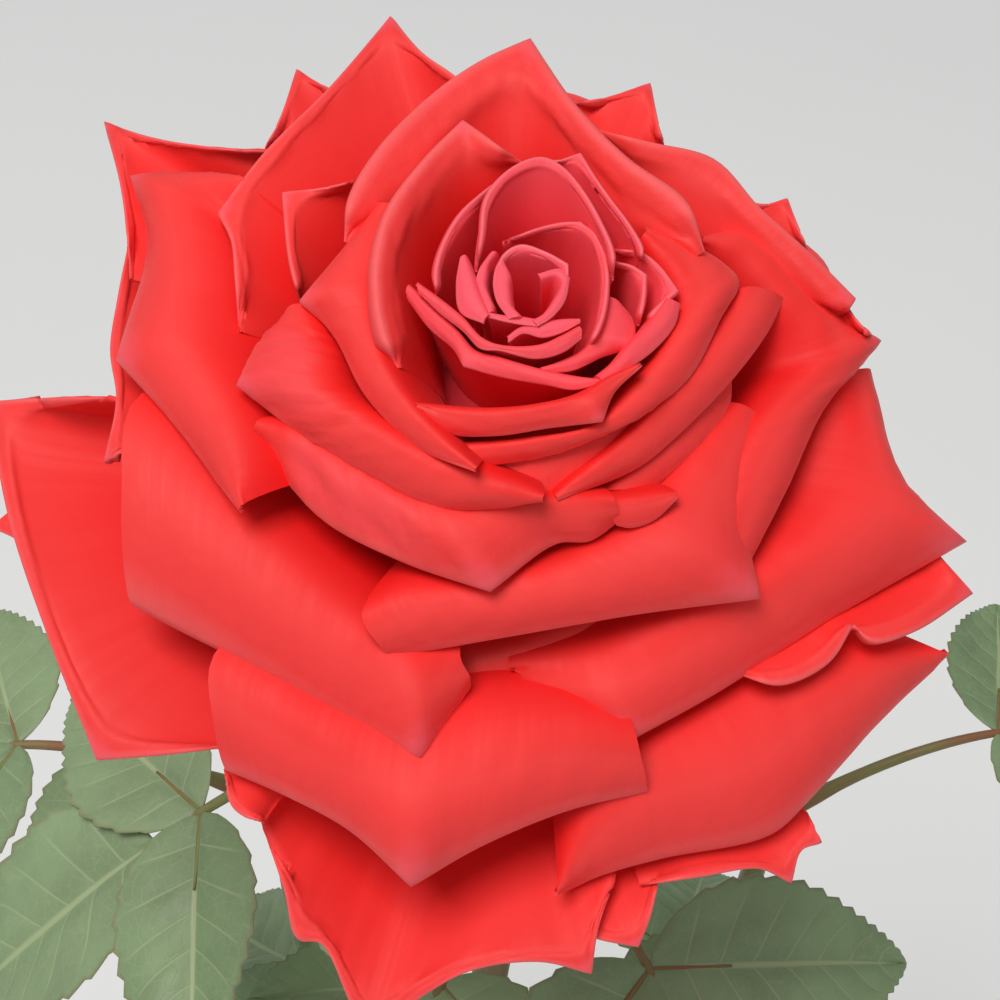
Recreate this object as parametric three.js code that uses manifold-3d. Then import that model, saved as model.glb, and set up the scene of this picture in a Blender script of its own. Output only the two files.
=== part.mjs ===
// A potted rose in full bloom, in millimetres, +Z up. The origin is the middle of the pot's underside,
// and -Y is the side that the bloom nods towards.
import * as THREE from "three";
import { mergeVertices } from "three/addons/utils/BufferGeometryUtils.js";
import Module from "manifold-3d";

const wasm = await Module();
wasm.setup();

// Driving dimensions
const GAP = 0.3;
const POT_HEIGHT = 170;
const POT_RIM_RADIUS = 98;
const POT_FOOT_RADIUS = 68;
const POT_WALL = 3;
const POT_SIDES = 24;
const SOIL_SIDES = 20;
const SOIL_LEVEL = 152;
const PLANTING_DEPTH = 42;
const HEART_HEIGHT = 540;
const BLOOM_LEAN = THREE.MathUtils.degToRad(14);
const BLOOM_DEPTH = 46;
const CORE_FLOOR = BLOOM_DEPTH + 1.5;
const CORE_RADIUS = 18;
const HIP_LENGTH = 15;
const PETAL_THICKNESS = 0.75;
const FOLD_SHOWS = 1.7;
const LEAF_THICKNESS = 0.65;

// The bloom's own frame has its heart at the origin and its axis along +Z. The petals' rims are drawn on a
// picture plane through the heart, seen from an eye in front of and above the bloom.
const EYE_DISTANCE = 170;
const EYE_FROM_AXIS = THREE.MathUtils.degToRad(27);
const EYE_BELOW_HEART = 21.5;
const EYE_LEFT_OF_HEART = 2.5;
const DOME_FRONT = 113;
const DOME_BACK = 260;

// The guard petals at the back, which the others hide from the eye, give their rims as [x, y] from above
const GUARDS = {
  guard_back: { lift: -19, roll: 3, reach: 0.5, depth: 6,
    rim: [[-19, 36], [-12, 44], [2, 50], [15, 43], [22, 33]] },
  guard_back_right: { lift: -19, roll: 3, reach: 0.5, depth: 5,
    rim: [[18, 34], [28, 33], [38, 27], [38, 17], [37, 6]] },
  guard_back_left: { lift: -16, roll: 3, reach: 0.5, depth: 5,
    rim: [[-47, 8], [-46, 20], [-42, 31], [-30, 36], [-19, 35]] },
};

const X = new THREE.Vector3(1, 0, 0);
const Z = new THREE.Vector3(0, 0, 1);
const PICTURE_UP = new THREE.Vector3(0, Math.cos(EYE_FROM_AXIS), Math.sin(EYE_FROM_AXIS));
const EYE = new THREE.Vector3(0, -Math.sin(EYE_FROM_AXIS), Math.cos(EYE_FROM_AXIS))
  .multiplyScalar(EYE_DISTANCE)
  .addScaledVector(PICTURE_UP, -EYE_BELOW_HEART)
  .addScaledVector(X, -EYE_LEFT_OF_HEART);

// Each petal gives its rim as [right, up] points on the picture plane. A petal that turns its outside to the
// eye also gives its crest, the line where the margin folds over, and the rim lies "drop" lower. The others
// are rolled back by "roll". lift is the height over the bloom's dome; reach and depth say how far in and
// how far down the petal bends to run to its foot.
const PETALS = {
  heart_back: { lift: -1, roll: 0.8, reach: 0.8, depth: 9,
    rim: [[-2.8, 1.0], [-2.2, 2.8], [-0.5, 3.9], [2.0, 3.2], [4.2, 2.0], [4.3, 0.0]] },
  heart_right: { lift: -1, drop: 0.6, reach: 0.75, depth: 9,
    crest: [[1.5, 0.6], [3.1, 0.9], [3.7, 0.2], [3.1, -1.5], [2.0, -3.0], [0.8, -3.7]],
    rim: [[1.3, 1.0], [3.5, 1.5], [4.4, 0.7], [3.9, -1.6], [2.6, -3.2], [1.2, -4.1]] },
  heart_left: { lift: -0.5, drop: 0.6, reach: 0.7, depth: 9,
    crest: [[-2.3, 2.3], [-1.7, 1.0], [-1.7, -0.5], [-1.5, -2.0], [-0.5, -3.3]],
    rim: [[-2.5, 2.4], [-2.9, 1.5], [-3.1, 0.0], [-2.7, -1.7], [-1.5, -3.4]] },
  heart_left_wrap: { lift: -0.5, drop: 0.6, reach: 0.75, depth: 9,
    crest: [[-3.0, 3.3], [-3.9, 1.7], [-4.1, 0.0], [-3.5, -1.7], [-3.3, -2.7]],
    rim: [[-3.5, 3.0], [-4.5, 1.5], [-4.8, 0.1], [-4.3, -1.5], [-3.7, -3.0]] },
  heart_left_tongue: { lift: 0, drop: 1.2, reach: 0.75, depth: 9,
    crest: [[-6.1, 2.9], [-5.4, 1.0], [-4.6, -1.2], [-3.7, -3.1]],
    rim: [[-6.4, 2.7], [-6.8, 0.0], [-6.4, -2.7], [-4.1, -3.8]] },
  heart_front: { lift: -0.6, drop: 0.4, reach: 0.75, depth: 9,
    crest: [[-3.7, -2.9], [-2.0, -3.2], [-0.3, -3.4], [1.5, -3.7]],
    rim: [[-3.6, -3.2], [-2.0, -3.6], [-0.3, -3.9], [1.3, -4.1]] },
  heart_front_wrap: { lift: -0.6, drop: 0.8, reach: 0.75, depth: 9,
    crest: [[-1.7, -5.3], [-0.5, -4.4], [1.5, -4.1], [3.5, -3.7], [5.5, -3.6]],
    rim: [[-1.7, -5.7], [-0.2, -4.8], [1.8, -5.2], [3.7, -4.7], [5.5, -3.7]] },
  cup_inner: { lift: -0.5, roll: 1.6, reach: 0.8, depth: 10,
    rim: [[-2.2, 4.2], [0.5, 5.3], [3.5, 6.1], [5.5, 6.2], [7.1, 4.8], [8.1, 2.0], [8.1, -1.5], [7.3, -4.5],
      [6.0, -6.7]] },
  cup_front: { lift: 0, drop: 1.0, reach: 0.8, depth: 10,
    crest: [[-10.8, 0.2], [-8.5, -1.6], [-6.3, -3.5], [-4.5, -5.3], [-2.5, -6.1], [1.5, -6.1], [3.7, -5.4],
      [5.6, -4.5]],
    rim: [[-10.5, -0.8], [-8.3, -2.9], [-6.1, -4.6], [-4.4, -6.3], [-2.5, -6.5], [1.0, -7.3], [3.7, -6.7],
      [5.6, -5.3]] },
  cup_front_wrap: { lift: -0.5, drop: 1.2, reach: 0.82, depth: 12,
    crest: [[-11.7, -0.1], [-9.5, -2.3], [-7.0, -4.7], [-5.3, -6.7], [-2.5, -7.5], [1.5, -8.6], [5.0, -9.3],
      [7.5, -9.5]],
    rim: [[-11.5, -1.6], [-9.5, -4.3], [-7.0, -6.5], [-6.1, -8.1], [-2.5, -9.1], [2.0, -9.9], [5.0, -10.4],
      [7.8, -9.6]] },
  cup_right_low: { lift: -0.5, drop: 1.5, reach: 0.8, depth: 12,
    crest: [[1.5, -8.4], [4.0, -7.5], [6.0, -6.5], [7.2, -5.0], [7.8, -3.0], [8.4, -1.2]],
    rim: [[2.0, -8.7], [4.7, -8.5], [7.8, -7.1], [10.7, -6.3], [10.9, -4.0], [9.3, -1.7]] },
  cup_back: { lift: 2.0, roll: 1.6, reach: 0.72, depth: 10,
    rim: [[-4.9, 1.3], [-4.4, 4.5], [-3.8, 8.8], [-1.5, 11.5], [1.5, 12.7], [3.5, 11.9], [5.5, 9.7],
      [7.5, 6.3],
      [8.8, 3.0], [8.7, 0.5]] },
  cup_left: { lift: 0.6, roll: 2.0, reach: 0.75, depth: 10,
    rim: [[-8.8, -1.3], [-8.9, 1.5], [-8.2, 4.0], [-6.5, 7.0], [-4.3, 9.1], [-2.0, 10.9]] },
  cup_back_right: { lift: 1.0, roll: 1.6, reach: 0.75, depth: 10,
    rim: [[2.0, 12.3], [3.7, 12.5], [5.5, 13.1], [6.7, 11.1], [8.5, 8.5], [10.3, 6.1], [11.7, 3.5],
      [11.5, 2.3]] },
  cup_right_tip: { lift: 0.3, roll: 1.4, reach: 0.8, depth: 10,
    rim: [[8.7, 2.3], [10.5, 1.9], [12.0, 1.0], [11.9, -1.0], [11.4, -4.0]] },
  cup_right: { lift: 0, roll: 1.6, reach: 0.75, depth: 10,
    rim: [[8.7, 3.5], [11.5, 3.2], [13.3, 1.9], [15.2, -0.6], [13.5, -2.1], [12.0, -4.0]] },
  cup_right_front: { lift: 0.3, drop: 1.2, reach: 0.78, depth: 12,
    crest: [[14.3, -1.5], [13.0, -3.3], [11.5, -5.0], [9.5, -7.2], [7.3, -9.3]],
    rim: [[15.4, -1.9], [14.9, -4.0], [13.0, -6.3], [10.7, -8.1], [7.9, -10.3]] },
  second_front: { lift: 0.5, drop: 2, reach: 0.72, depth: 12,
    crest: [[-11.0, -11.9], [-7.0, -12.5], [-2.5, -12.6], [2.5, -11.9], [6.0, -10.8], [8.7, -9.2],
      [11.6, -7.9]],
    rim: [[-10.5, -12.5], [-7.8, -14.7], [-3.0, -15.0], [2.5, -14.2], [7.7, -13.6], [8.8, -10.8],
      [11.6, -8.1]] },
  second_right: { lift: 0, drop: 2, reach: 0.72, depth: 12,
    crest: [[12.0, 5.0], [15.3, 1.0], [15.8, -2.0], [13.7, -6.0], [10.5, -10.0], [7.0, -13.8], [1.5, -15.0],
      [-4.5, -15.8]],
    rim: [[12.0, 5.7], [17.5, 3.5], [21.3, 0.3], [19.7, -2.7], [16.5, -9.0], [12.5, -12.1], [4.5, -16.1],
      [-4.9, -18.1]] },
  second_left: { lift: 1.2, roll: 3.0, reach: 0.68, depth: 11,
    rim: [[-12.7, -8.3], [-14.2, -5.0], [-14.9, -1.5], [-14.9, 3.0], [-13.5, 7.7], [-10.0, 12.5],
      [-6.2, 16.4],
      [-3.5, 14.4], [-0.3, 12.2]] },
  second_left_low: { lift: -1, roll: 1.2, reach: 0.78, depth: 11,
    rim: [[-12.9, -7.5], [-12.6, -9.3], [-11.8, -10.7], [-10.7, -11.8]] },
  third_left: { lift: 0.5, drop: 2.5, reach: 0.7, depth: 11,
    crest: [[-13.2, 7.8], [-14.8, 4.0], [-15.3, -0.5], [-15.1, -4.5], [-13.0, -9.5], [-9.5, -14.0],
      [-4.9, -18.4]],
    rim: [[-14.5, 8.1], [-18.2, 3.3], [-22.5, -1.7], [-19.3, -4.7], [-15.7, -11.3], [-10.5, -16.3],
      [-4.9, -18.6]] },
  third_front_left: { lift: 1.0, drop: 3.5, reach: 0.65, depth: 10,
    crest: [[-22.3, -1.9], [-20.3, -6.0], [-19.3, -10.3], [-15.0, -13.8], [-9.5, -17.0], [-3.5, -19.3],
      [1.8, -21.3]],
    rim: [[-24.0, -3.7], [-26.9, -6.5], [-28.8, -10.0], [-22.5, -14.8], [-15.5, -19.0], [-8.5, -22.2],
      [1.8, -21.6]] },
  third_right: { lift: 0.3, drop: 2.5, reach: 0.65, depth: 11,
    crest: [[21.7, -0.2], [19.7, -3.3], [16.5, -8.3], [12.5, -12.7], [8.0, -17.0], [3.1, -21.1]],
    rim: [[25.8, -1.4], [24.3, -4.5], [21.0, -9.0], [16.5, -13.7], [11.5, -18.0], [3.2, -21.5]] },
  third_right_under: { lift: -1.8, drop: 1.5, reach: 0.65, depth: 10,
    crest: [[17.5, -4.5], [16.5, -11.5], [12.5, -16.5], [7.5, -20.5]],
    rim: [[20.6, -9.0], [20.3, -12.3], [17.5, -16.2], [12.5, -20.5]] },
  third_back: { lift: 1.0, roll: 4.0, reach: 0.6, depth: 10,
    rim: [[-18.0, 4.3], [-17.5, 8.5], [-14.5, 13.7], [-9.5, 18.8], [-4.5, 22.3], [0.5, 24.6], [4.7, 18.2],
      [10.0, 12.7], [16.0, 8.2], [17.9, 3.3]] },
  fourth_front: { lift: 0, drop: 3.0, reach: 0.62, depth: 10,
    crest: [[-26.7, -13.9], [-21.5, -14.7], [-15.5, -18.5], [-8.5, -21.3], [-0.5, -21.3], [5.5, -21.2],
      [8.9, -21.4]],
    rim: [[-26.3, -15.5], [-20.7, -23.0], [-12.5, -27.5], [-3.5, -30.6], [3.1, -25.8], [6.5, -25.5],
      [9.3, -23.5]] },
  fourth_front_lobe: { lift: -1.5, drop: 1.5, reach: 0.62, depth: 10,
    crest: [[7.5, -21.5], [10.0, -21.4], [12.5, -21.1], [15.2, -20.9]],
    rim: [[9.3, -24.0], [10.6, -24.2], [12.8, -23.5], [15.3, -21.2]] },
  fourth_right: { lift: -1.0, roll: 4.0, reach: 0.55, depth: 9,
    rim: [[17.8, 4.7], [22.5, 5.4], [27.5, 0.5], [32.0, -3.7], [35.5, -5.6], [33.3, -7.7], [29.7, -12.3],
      [26.5, -19.5], [22.3, -27.8]] },
  fourth_back_right: { lift: -1.5, roll: 4.0, reach: 0.55, depth: 9,
    rim: [[7.3, 15.4], [12.5, 14.2], [18.9, 12.5], [23.5, 7.6], [28.5, 3.1], [33.0, -1.4], [32.1, -2.8]] },
  fourth_left_inner: { lift: -1, roll: 2.0, reach: 0.65, depth: 10,
    rim: [[-22.5, -1.5], [-23.5, 2.5], [-24.2, 9.2], [-20.5, 9.6], [-16.9, 10.4]] },
  fourth_back_left: { lift: 0, roll: 4.5, reach: 0.55, depth: 9,
    rim: [[-28.5, -4.7], [-28.9, 0.5], [-29.3, 4.5], [-30.6, 7.2], [-26.0, 13.2], [-19.5, 19.7],
      [-13.4, 26.8],
      [-10.5, 23.3], [-6.9, 20.7], [-3.5, 17.5]] },
  fifth_front: { lift: 0, drop: 3.5, reach: 0.58, depth: 9,
    crest: [[-16.3, -33.1], [-12.5, -30.9], [-5.5, -30.0], [3.5, -27.7], [11.5, -23.1], [16.7, -17.0],
      [21.3, -11.9]],
    rim: [[-13.3, -37.1], [-7.5, -36.1], [0.5, -34.7], [11.5, -32.8], [23.5, -31.3], [22.3, -25.5],
      [24.4, -14.9]] },
  fifth_left: { lift: 0.3, drop: 2.5, reach: 0.55, depth: 8,
    crest: [[-27.5, 10.0], [-31.0, 8.5], [-32.5, 7.0], [-32.0, 2.5], [-32.0, -6.5], [-30.5, -13.5],
      [-26.3, -21.0]],
    rim: [[-28.5, 10.7], [-33.5, 10.7], [-39.3, 10.7], [-37.5, 4.5], [-40.8, -7.5], [-34.5, -14.5],
      [-28.4, -22.7]] },
  sixth_front_left: { lift: 0, drop: 4, reach: 0.55, depth: 8,
    crest: [[-38.3, -11.1], [-34.0, -15.5], [-28.5, -22.3], [-22.5, -28.5], [-16.5, -33.7], [-11.0, -36.7],
      [-6.5, -37.0]],
    rim: [[-39.2, -32.0], [-34.5, -34.5], [-29.5, -37.0], [-23.5, -40.3], [-17.5, -43.7], [-10.5, -47.4],
      [-5.9, -40.5]] },
  sixth_right: { lift: -1.5, drop: 2.5, reach: 0.55, depth: 7,
    crest: [[1.5, -40.5], [7.5, -37.5], [15.5, -33.5], [23.5, -28.5], [30.5, -21.5], [32.5, -15.5],
      [32.5, -8.5]],
    rim: [[3.5, -42.2], [10.3, -45.6], [19.5, -40.5], [29.5, -34.0], [44.1, -25.6], [38.0, -21.0],
      [34.3, -8.7]] },
  outer_back: { lift: -3, roll: 2.5, reach: 0.5, depth: 7,
    rim: [[-26.2, 13.2], [-24.3, 17.0], [-22.8, 21.5], [-21.3, 20.5], [-17.0, 18.3]] },
  outer_back_right: { lift: -3, roll: 2.5, reach: 0.5, depth: 7,
    rim: [[4.7, 18.1], [8.5, 18.8], [12.5, 20.1], [13.1, 17.0], [13.9, 13.7]] },
  outer_right: { lift: -3.5, roll: 2.0, reach: 0.5, depth: 7,
    rim: [[21.0, 8.5], [24.0, 8.0], [26.2, 8.6], [26.9, 6.7], [28.5, 3.0]] },
  outer_right_lobe: { lift: -3, roll: 1.5, reach: 0.5, depth: 7,
    rim: [[31.5, -1.0], [33.3, -3.7], [34.6, -5.0]] },
  outer_back_left: { lift: 3, roll: 4.0, reach: 0.5, depth: 7,
    rim: [[-39.5, 3.5], [-40.3, 9.5], [-42.0, 16.2], [-37.5, 14.7], [-32.0, 13.8], [-24.0, 13.2]] },
  outer_left: { lift: -2.2, roll: 3, reach: 0.5, depth: 7,
    rim: [[-39.4, 3.5], [-40.7, -1.5], [-41.4, -6.5], [-40.8, -11.5], [-42.0, -17.6], [-40.0, -16.5],
      [-37.0, -14.0]] },
  outer_front_left: { lift: -3, roll: 5, reach: 0.5, depth: 6,
    rim: [[-40.7, -11.3], [-47.5, -11.4], [-53.7, -11.7], [-51.5, -23.5], [-47.5, -35.5], [-42.8, -47.4],
      [-36.5, -46.9], [-28.3, -46.0]] },
  outer_far_left: { lift: -6, roll: 2, reach: 0.5, depth: 5,
    rim: [[-49.5, -16.5], [-50.5, -21.5], [-53.3, -24.2], [-50.7, -25.5], [-45.5, -31.5]] },
  outer_low_left: { lift: -6, roll: 1.5, reach: 0.5, depth: 5,
    rim: [[-30.0, -48.5], [-29.4, -51.8], [-28.0, -53.1], [-26.1, -53.7]] },
  seventh_front: { lift: -2, drop: 3, reach: 0.52, depth: 6,
    crest: [[-31.1, -37.0], [-25.5, -40.5], [-18.5, -44.5], [-10.5, -46.0], [-2.5, -44.5], [4.5, -44.0],
      [10.9, -45.0]],
    rim: [[-29.7, -48.5], [-23.5, -51.2], [-17.5, -54.5], [-11.4, -60.1], [-4.5, -56.1], [4.5, -52.4],
      [12.2, -50.6]] },
  seventh_right: { lift: -4, drop: 2.5, reach: 0.5, depth: 6,
    crest: [[5.0, -51.5], [11.5, -47.5], [19.5, -44.5], [26.5, -40.5], [32.5, -37.5], [36.5, -36.0]],
    rim: [[3.1, -60.9], [13.5, -57.3], [24.5, -54.9], [28.3, -51.5], [35.5, -43.5], [42.3, -36.8]] },
  outer_front_right: { lift: -3.5, roll: 2.5, reach: 0.5, depth: 6,
    rim: [[21.5, -41.5], [26.5, -39.5], [30.3, -37.7], [32.8, -33.9], [34.7, -35.6], [39.0, -34.5],
      [44.7, -30.8], [41.3, -27.0]] },
  outer_low_right: { lift: -6, roll: 2.5, reach: 0.5, depth: 5,
    rim: [[11.5, -60.0], [17.5, -59.1], [23.5, -58.3], [26.6, -59.7], [27.6, -56.5], [29.6, -55.7],
      [28.1, -52.7]] },
  outer_low_lobe: { lift: -6.5, roll: 2.5, reach: 0.5, depth: 5,
    rim: [[4.5, -64.5], [8.0, -65.5], [11.3, -66.1], [12.5, -63.0], [13.3, -59.5]] },
  outer_low_front: { lift: -5, roll: 5, reach: 0.5, depth: 5,
    rim: [[-26.3, -53.7], [-24.0, -60.5], [-22.7, -65.3], [-20.3, -65.8], [-17.5, -71.5], [-15.7, -75.0],
      [-11.0, -71.5], [-5.5, -68.5], [1.5, -67.6], [6.6, -68.8], [7.1, -63.0]] },
};

// A point of the bloom's axis, this far below its heart
function onBloomAxis(distance) {
  return [0, distance * Math.sin(BLOOM_LEAN), HEART_HEIGHT - distance * Math.cos(BLOOM_LEAN)];
}

// The canes as points from the soil upwards, with the radius at the foot and at the tip
const CANE_FOOT = SOIL_LEVEL - PLANTING_DEPTH;
const COLLAR = SOIL_LEVEL + 8;
const BEND = SOIL_LEVEL + 22;
const CANES = {
  cane_flower: { radii: [4.6, 2.7], prickles: 8,
    points: [[0, 4, CANE_FOOT], [0, 4, COLLAR], [0, 4, BEND], [-5, 8, 220], [-8, 15, 290], [-2, 23, 370],
      [2, 26, 420], onBloomAxis(92), onBloomAxis(CORE_FLOOR + HIP_LENGTH + 2 * GAP)] },
  cane_left: { radii: [4.2, 2.2], prickles: 5,
    points: [[-14, 9, CANE_FOOT], [-14, 9, COLLAR], [-14, 9, BEND], [-22, 14, 215], [-35, 22, 280],
      [-42, 31, 345], [-42, 34, 392]] },
  cane_right: { radii: [4.2, 2.2], prickles: 5,
    points: [[13, 13, CANE_FOOT], [13, 13, COLLAR], [13, 13, BEND], [22, 20, 215], [36, 34, 270],
      [48, 44, 320], [52, 48, 362]] },
};
const CANE_SIDES = 7;
const CANE_STEPS = 10;

// Each leaf: the cane, how far up it (0 to 1), the heading in degrees from +X, the rise in degrees, the length
// of its stalk and rachis, the length of its end leaflet and its pairs of side leaflets
const LEAVES = {
  leaf_flower_1: ["cane_flower", 0.86, 202, 8, 62, 48, 2],
  leaf_flower_2: ["cane_flower", 0.79, 300, 12, 46, 54, 1],
  leaf_flower_3: ["cane_flower", 0.73, 246, 4, 60, 48, 2],
  leaf_flower_4: ["cane_flower", 0.68, 62, 14, 52, 46, 1],
  leaf_flower_5: ["cane_flower", 0.6, 338, 12, 60, 48, 2],
  leaf_flower_6: ["cane_flower", 0.46, 138, 12, 56, 48, 1],
  leaf_flower_7: ["cane_flower", 0.3, 272, 14, 56, 46, 1],
  leaf_left_1: ["cane_left", 0.97, 178, 28, 52, 44, 2],
  leaf_left_2: ["cane_left", 0.72, 228, 10, 56, 46, 2],
  leaf_left_3: ["cane_left", 0.5, 118, 14, 54, 42, 1],
  leaf_right_1: ["cane_right", 0.97, 12, 28, 52, 44, 1],
  leaf_right_2: ["cane_right", 0.64, 334, 10, 56, 46, 2],
  leaf_right_3: ["cane_right", 0.52, 72, 14, 54, 42, 1],
};
const END_TEETH = 4;
const STALK_RADIUS = 1.0;
const LEAF_SMALLEST = 0.1;

// A three.js geometry as a solid: only its places are kept, and vertices at one place become one
function solidOf(geometry) {
  geometry.deleteAttribute("normal");
  geometry.deleteAttribute("uv");
  const merged = mergeVertices(geometry, 1e-4);
  return new wasm.Manifold(new wasm.Mesh({
    numProp: 3,
    vertProperties: new Float32Array(merged.attributes.position.array),
    triVerts: new Uint32Array(merged.index.array),
  }));
}

// The solid as a geometry again, without slivers under the smallest size and only its largest body: scraps go,
// and hollows that joining sealed are filled
function geometryOf(solid, smallest) {
  const bodies = solid.simplify(smallest).decompose();
  bodies.sort((a, b) => b.volume() - a.volume());
  const mesh = bodies[0].getMesh();
  const geometry = new THREE.BufferGeometry();
  geometry.setAttribute("position", new THREE.BufferAttribute(mesh.vertProperties.slice(), 3));
  geometry.setIndex(new THREE.BufferAttribute(mesh.triVerts.slice(), 1));
  geometry.computeVertexNormals();
  return geometry;
}

// All the solids joined into one
function joined(solids) {
  return solids.reduce((whole, solid) => whole.add(solid));
}

// Triangles of a grid of vertex numbers, with the same diagonals whichever way the face looks
function gridTriangles(rows, columns, first, flipped) {
  const triangles = [];
  for (let row = 0; row + 1 < rows; row += 1) {
    for (let column = 0; column + 1 < columns; column += 1) {
      const a = first + row * columns + column;
      const b = a + 1;
      const c = a + columns;
      const d = c + 1;
      triangles.push(...(flipped ? [a, b, d, a, d, c] : [a, d, b, a, c, d]));
    }
  }
  return triangles;
}

// A thin closed blade over a grid of points: the grid moved half the thickness to each side along its
// normals, and a wall round its border
function blade(grid, thickness) {
  const rows = grid.length;
  const columns = grid[0].length;
  const sheet = new THREE.BufferGeometry();
  sheet.setAttribute("position", new THREE.Float32BufferAttribute(grid.flat().flatMap((p) => p.toArray()), 3));
  sheet.setIndex(gridTriangles(rows, columns, 0, false));
  sheet.computeVertexNormals();
  const normals = sheet.attributes.normal;
  const places = [];
  for (const side of [1, -1]) {
    grid.flat().forEach((point, i) => {
      const normal = new THREE.Vector3().fromBufferAttribute(normals, i);
      places.push(...point.clone().addScaledVector(normal, side * thickness / 2).toArray());
    });
  }
  const count = rows * columns;
  const triangles = [...gridTriangles(rows, columns, 0, false), ...gridTriangles(rows, columns, count, true)];
  const border = [];
  for (let column = 0; column < columns - 1; column += 1) border.push(column);
  for (let row = 0; row < rows - 1; row += 1) border.push(row * columns + columns - 1);
  for (let column = columns - 1; column > 0; column -= 1) border.push((rows - 1) * columns + column);
  for (let row = rows - 1; row > 0; row -= 1) border.push(row * columns);
  border.forEach((a, i) => {
    const b = border[(i + 1) % border.length];
    triangles.push(a, b, b + count, a, b + count, a + count);
  });
  return closed(places, triangles);
}

// A solid from places and triangles, turned right side out
function closed(places, triangles) {
  const build = (indices) => new wasm.Manifold(new wasm.Mesh({
    numProp: 3,
    vertProperties: new Float32Array(places),
    triVerts: new Uint32Array(indices),
  }));
  const solid = build(triangles);
  return solid.volume() > 0 ? solid : build(triangles.toReversed());
}

// A tapered stem: rings of sides round a smooth curve, closed at both ends
function stem(points, radii, sides, steps) {
  const curve = new THREE.CatmullRomCurve3(points, false, "centripetal");
  const frames = curve.computeFrenetFrames(steps);
  const places = [];
  for (let step = 0; step <= steps; step += 1) {
    const middle = curve.getPointAt(step / steps);
    const radius = THREE.MathUtils.lerp(radii[0], radii[1], step / steps);
    for (let side = 0; side < sides; side += 1) {
      const turn = (2 * Math.PI * side) / sides;
      places.push(...middle.clone()
        .addScaledVector(frames.normals[step], radius * Math.cos(turn))
        .addScaledVector(frames.binormals[step], radius * Math.sin(turn)).toArray());
    }
  }
  const triangles = [];
  for (let step = 0; step < steps; step += 1) {
    for (let side = 0; side < sides; side += 1) {
      const a = step * sides + side;
      const b = step * sides + ((side + 1) % sides);
      triangles.push(a, b, b + sides, a, b + sides, a + sides);
    }
  }
  const last = steps * sides;
  for (let side = 1; side + 1 < sides; side += 1) {
    triangles.push(0, side + 1, side, last, last + side, last + side + 1);
  }
  return closed(places, triangles);
}

// A lathed solid round +Z from [radius, height] points
function turned(profile, sides) {
  const points = profile.map(([radius, height]) => new THREE.Vector2(radius, height));
  const geometry = new THREE.LatheGeometry(points, sides);
  geometry.rotateX(Math.PI / 2);
  const solid = solidOf(geometry);
  return solid.volume() > 0 ? solid : solidOf(flipped(geometry));
}

// The same geometry with its faces looking the other way
function flipped(geometry) {
  geometry.setIndex([...geometry.index.array].reverse());
  return geometry;
}

// Where the line of sight through a point of the picture plane meets the bloom's dome: its height falls with
// the square of the distance from the axis, less towards the back, and the nearer meeting counts
function seen([right, up], lift) {
  const ray = X.clone().multiplyScalar(right).addScaledVector(PICTURE_UP, up).sub(EYE);
  const meet = (back) => {
    const a = (ray.x * ray.x) / DOME_FRONT + (ray.y * ray.y) / back;
    const b = ray.z + 2 * ((EYE.x * ray.x) / DOME_FRONT + (EYE.y * ray.y) / back);
    const c = EYE.z - lift + (EYE.x * EYE.x) / DOME_FRONT + (EYE.y * EYE.y) / back;
    const root = b * b - 4 * a * c;
    return { root, point: EYE.clone().addScaledVector(ray, (-b - Math.sqrt(Math.max(root, 0))) / (2 * a)) };
  };
  const front = meet(DOME_FRONT);
  return front.root > 0 && front.point.y <= 0 ? front.point : meet(DOME_BACK).point;
}

// A point of the dome over [x, y]
function below([x, y], lift) {
  return new THREE.Vector3(x, y, lift - (x * x) / DOME_FRONT - (y * y) / (y > 0 ? DOME_BACK : DOME_FRONT));
}

// Angles round the axis, each within half a turn of the one before
function unwrapped(angles) {
  return angles.reduce((list, angle) => {
    const before = list.at(-1) ?? angle;
    return [...list, angle + 2 * Math.PI * Math.round((before - angle) / (2 * Math.PI))];
  }, []);
}

function mean(values) {
  return values.reduce((sum, value) => sum + value, 0) / values.length;
}

// A petal as rows of points from its foot to its rim: foot, shoulder, crest and rim. An inner petal, whose
// shoulder lies in the core, starts there, and a margin too narrow to show its fold has no crest.
function petalRows({ lift, roll, drop, reach, depth, crest, rim }, place) {
  const rimPoints = rim.map((point) => place(point, lift - (drop ?? 0)));
  const edge = crest ? crest.map((point) => place(point, lift)) : rimPoints;
  const radii = edge.map((point) => Math.hypot(point.x, point.y));
  const turns = unwrapped(edge.map((point) => Math.atan2(point.y, point.x)));
  const meanRadius = mean(radii);
  const meanHeight = mean(edge.map((point) => point.z));
  const rows = [[], [], [], []];
  edge.forEach((point, i) => {
    const round = (radius, height) => new THREE.Vector3(radius * Math.cos(turns[i]),
      radius * Math.sin(turns[i]), height);
    const shoulderRadius = reach * (radii[i] + meanRadius) / 2;
    const shoulderHeight = (point.z + meanHeight) / 2 - depth;
    const footRadius = 1.5 + 0.1 * radii[i];
    const shoulder = round(shoulderRadius, shoulderHeight);
    const inwards = shoulder.clone().sub(point).normalize();
    rows[0].push(round(footRadius, -BLOOM_DEPTH));
    rows[1].push(shoulder);
    rows[2].push(crest ? point : point.clone().addScaledVector(inwards, roll).addScaledVector(Z, 0.3 * roll));
    rows[3].push(rimPoints[i]);
  });
  if ((roll ?? drop) < FOLD_SHOWS) rows.splice(2, 1);
  return reach * meanRadius < CORE_RADIUS - 1 ? rows.slice(1) : rows;
}

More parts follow.
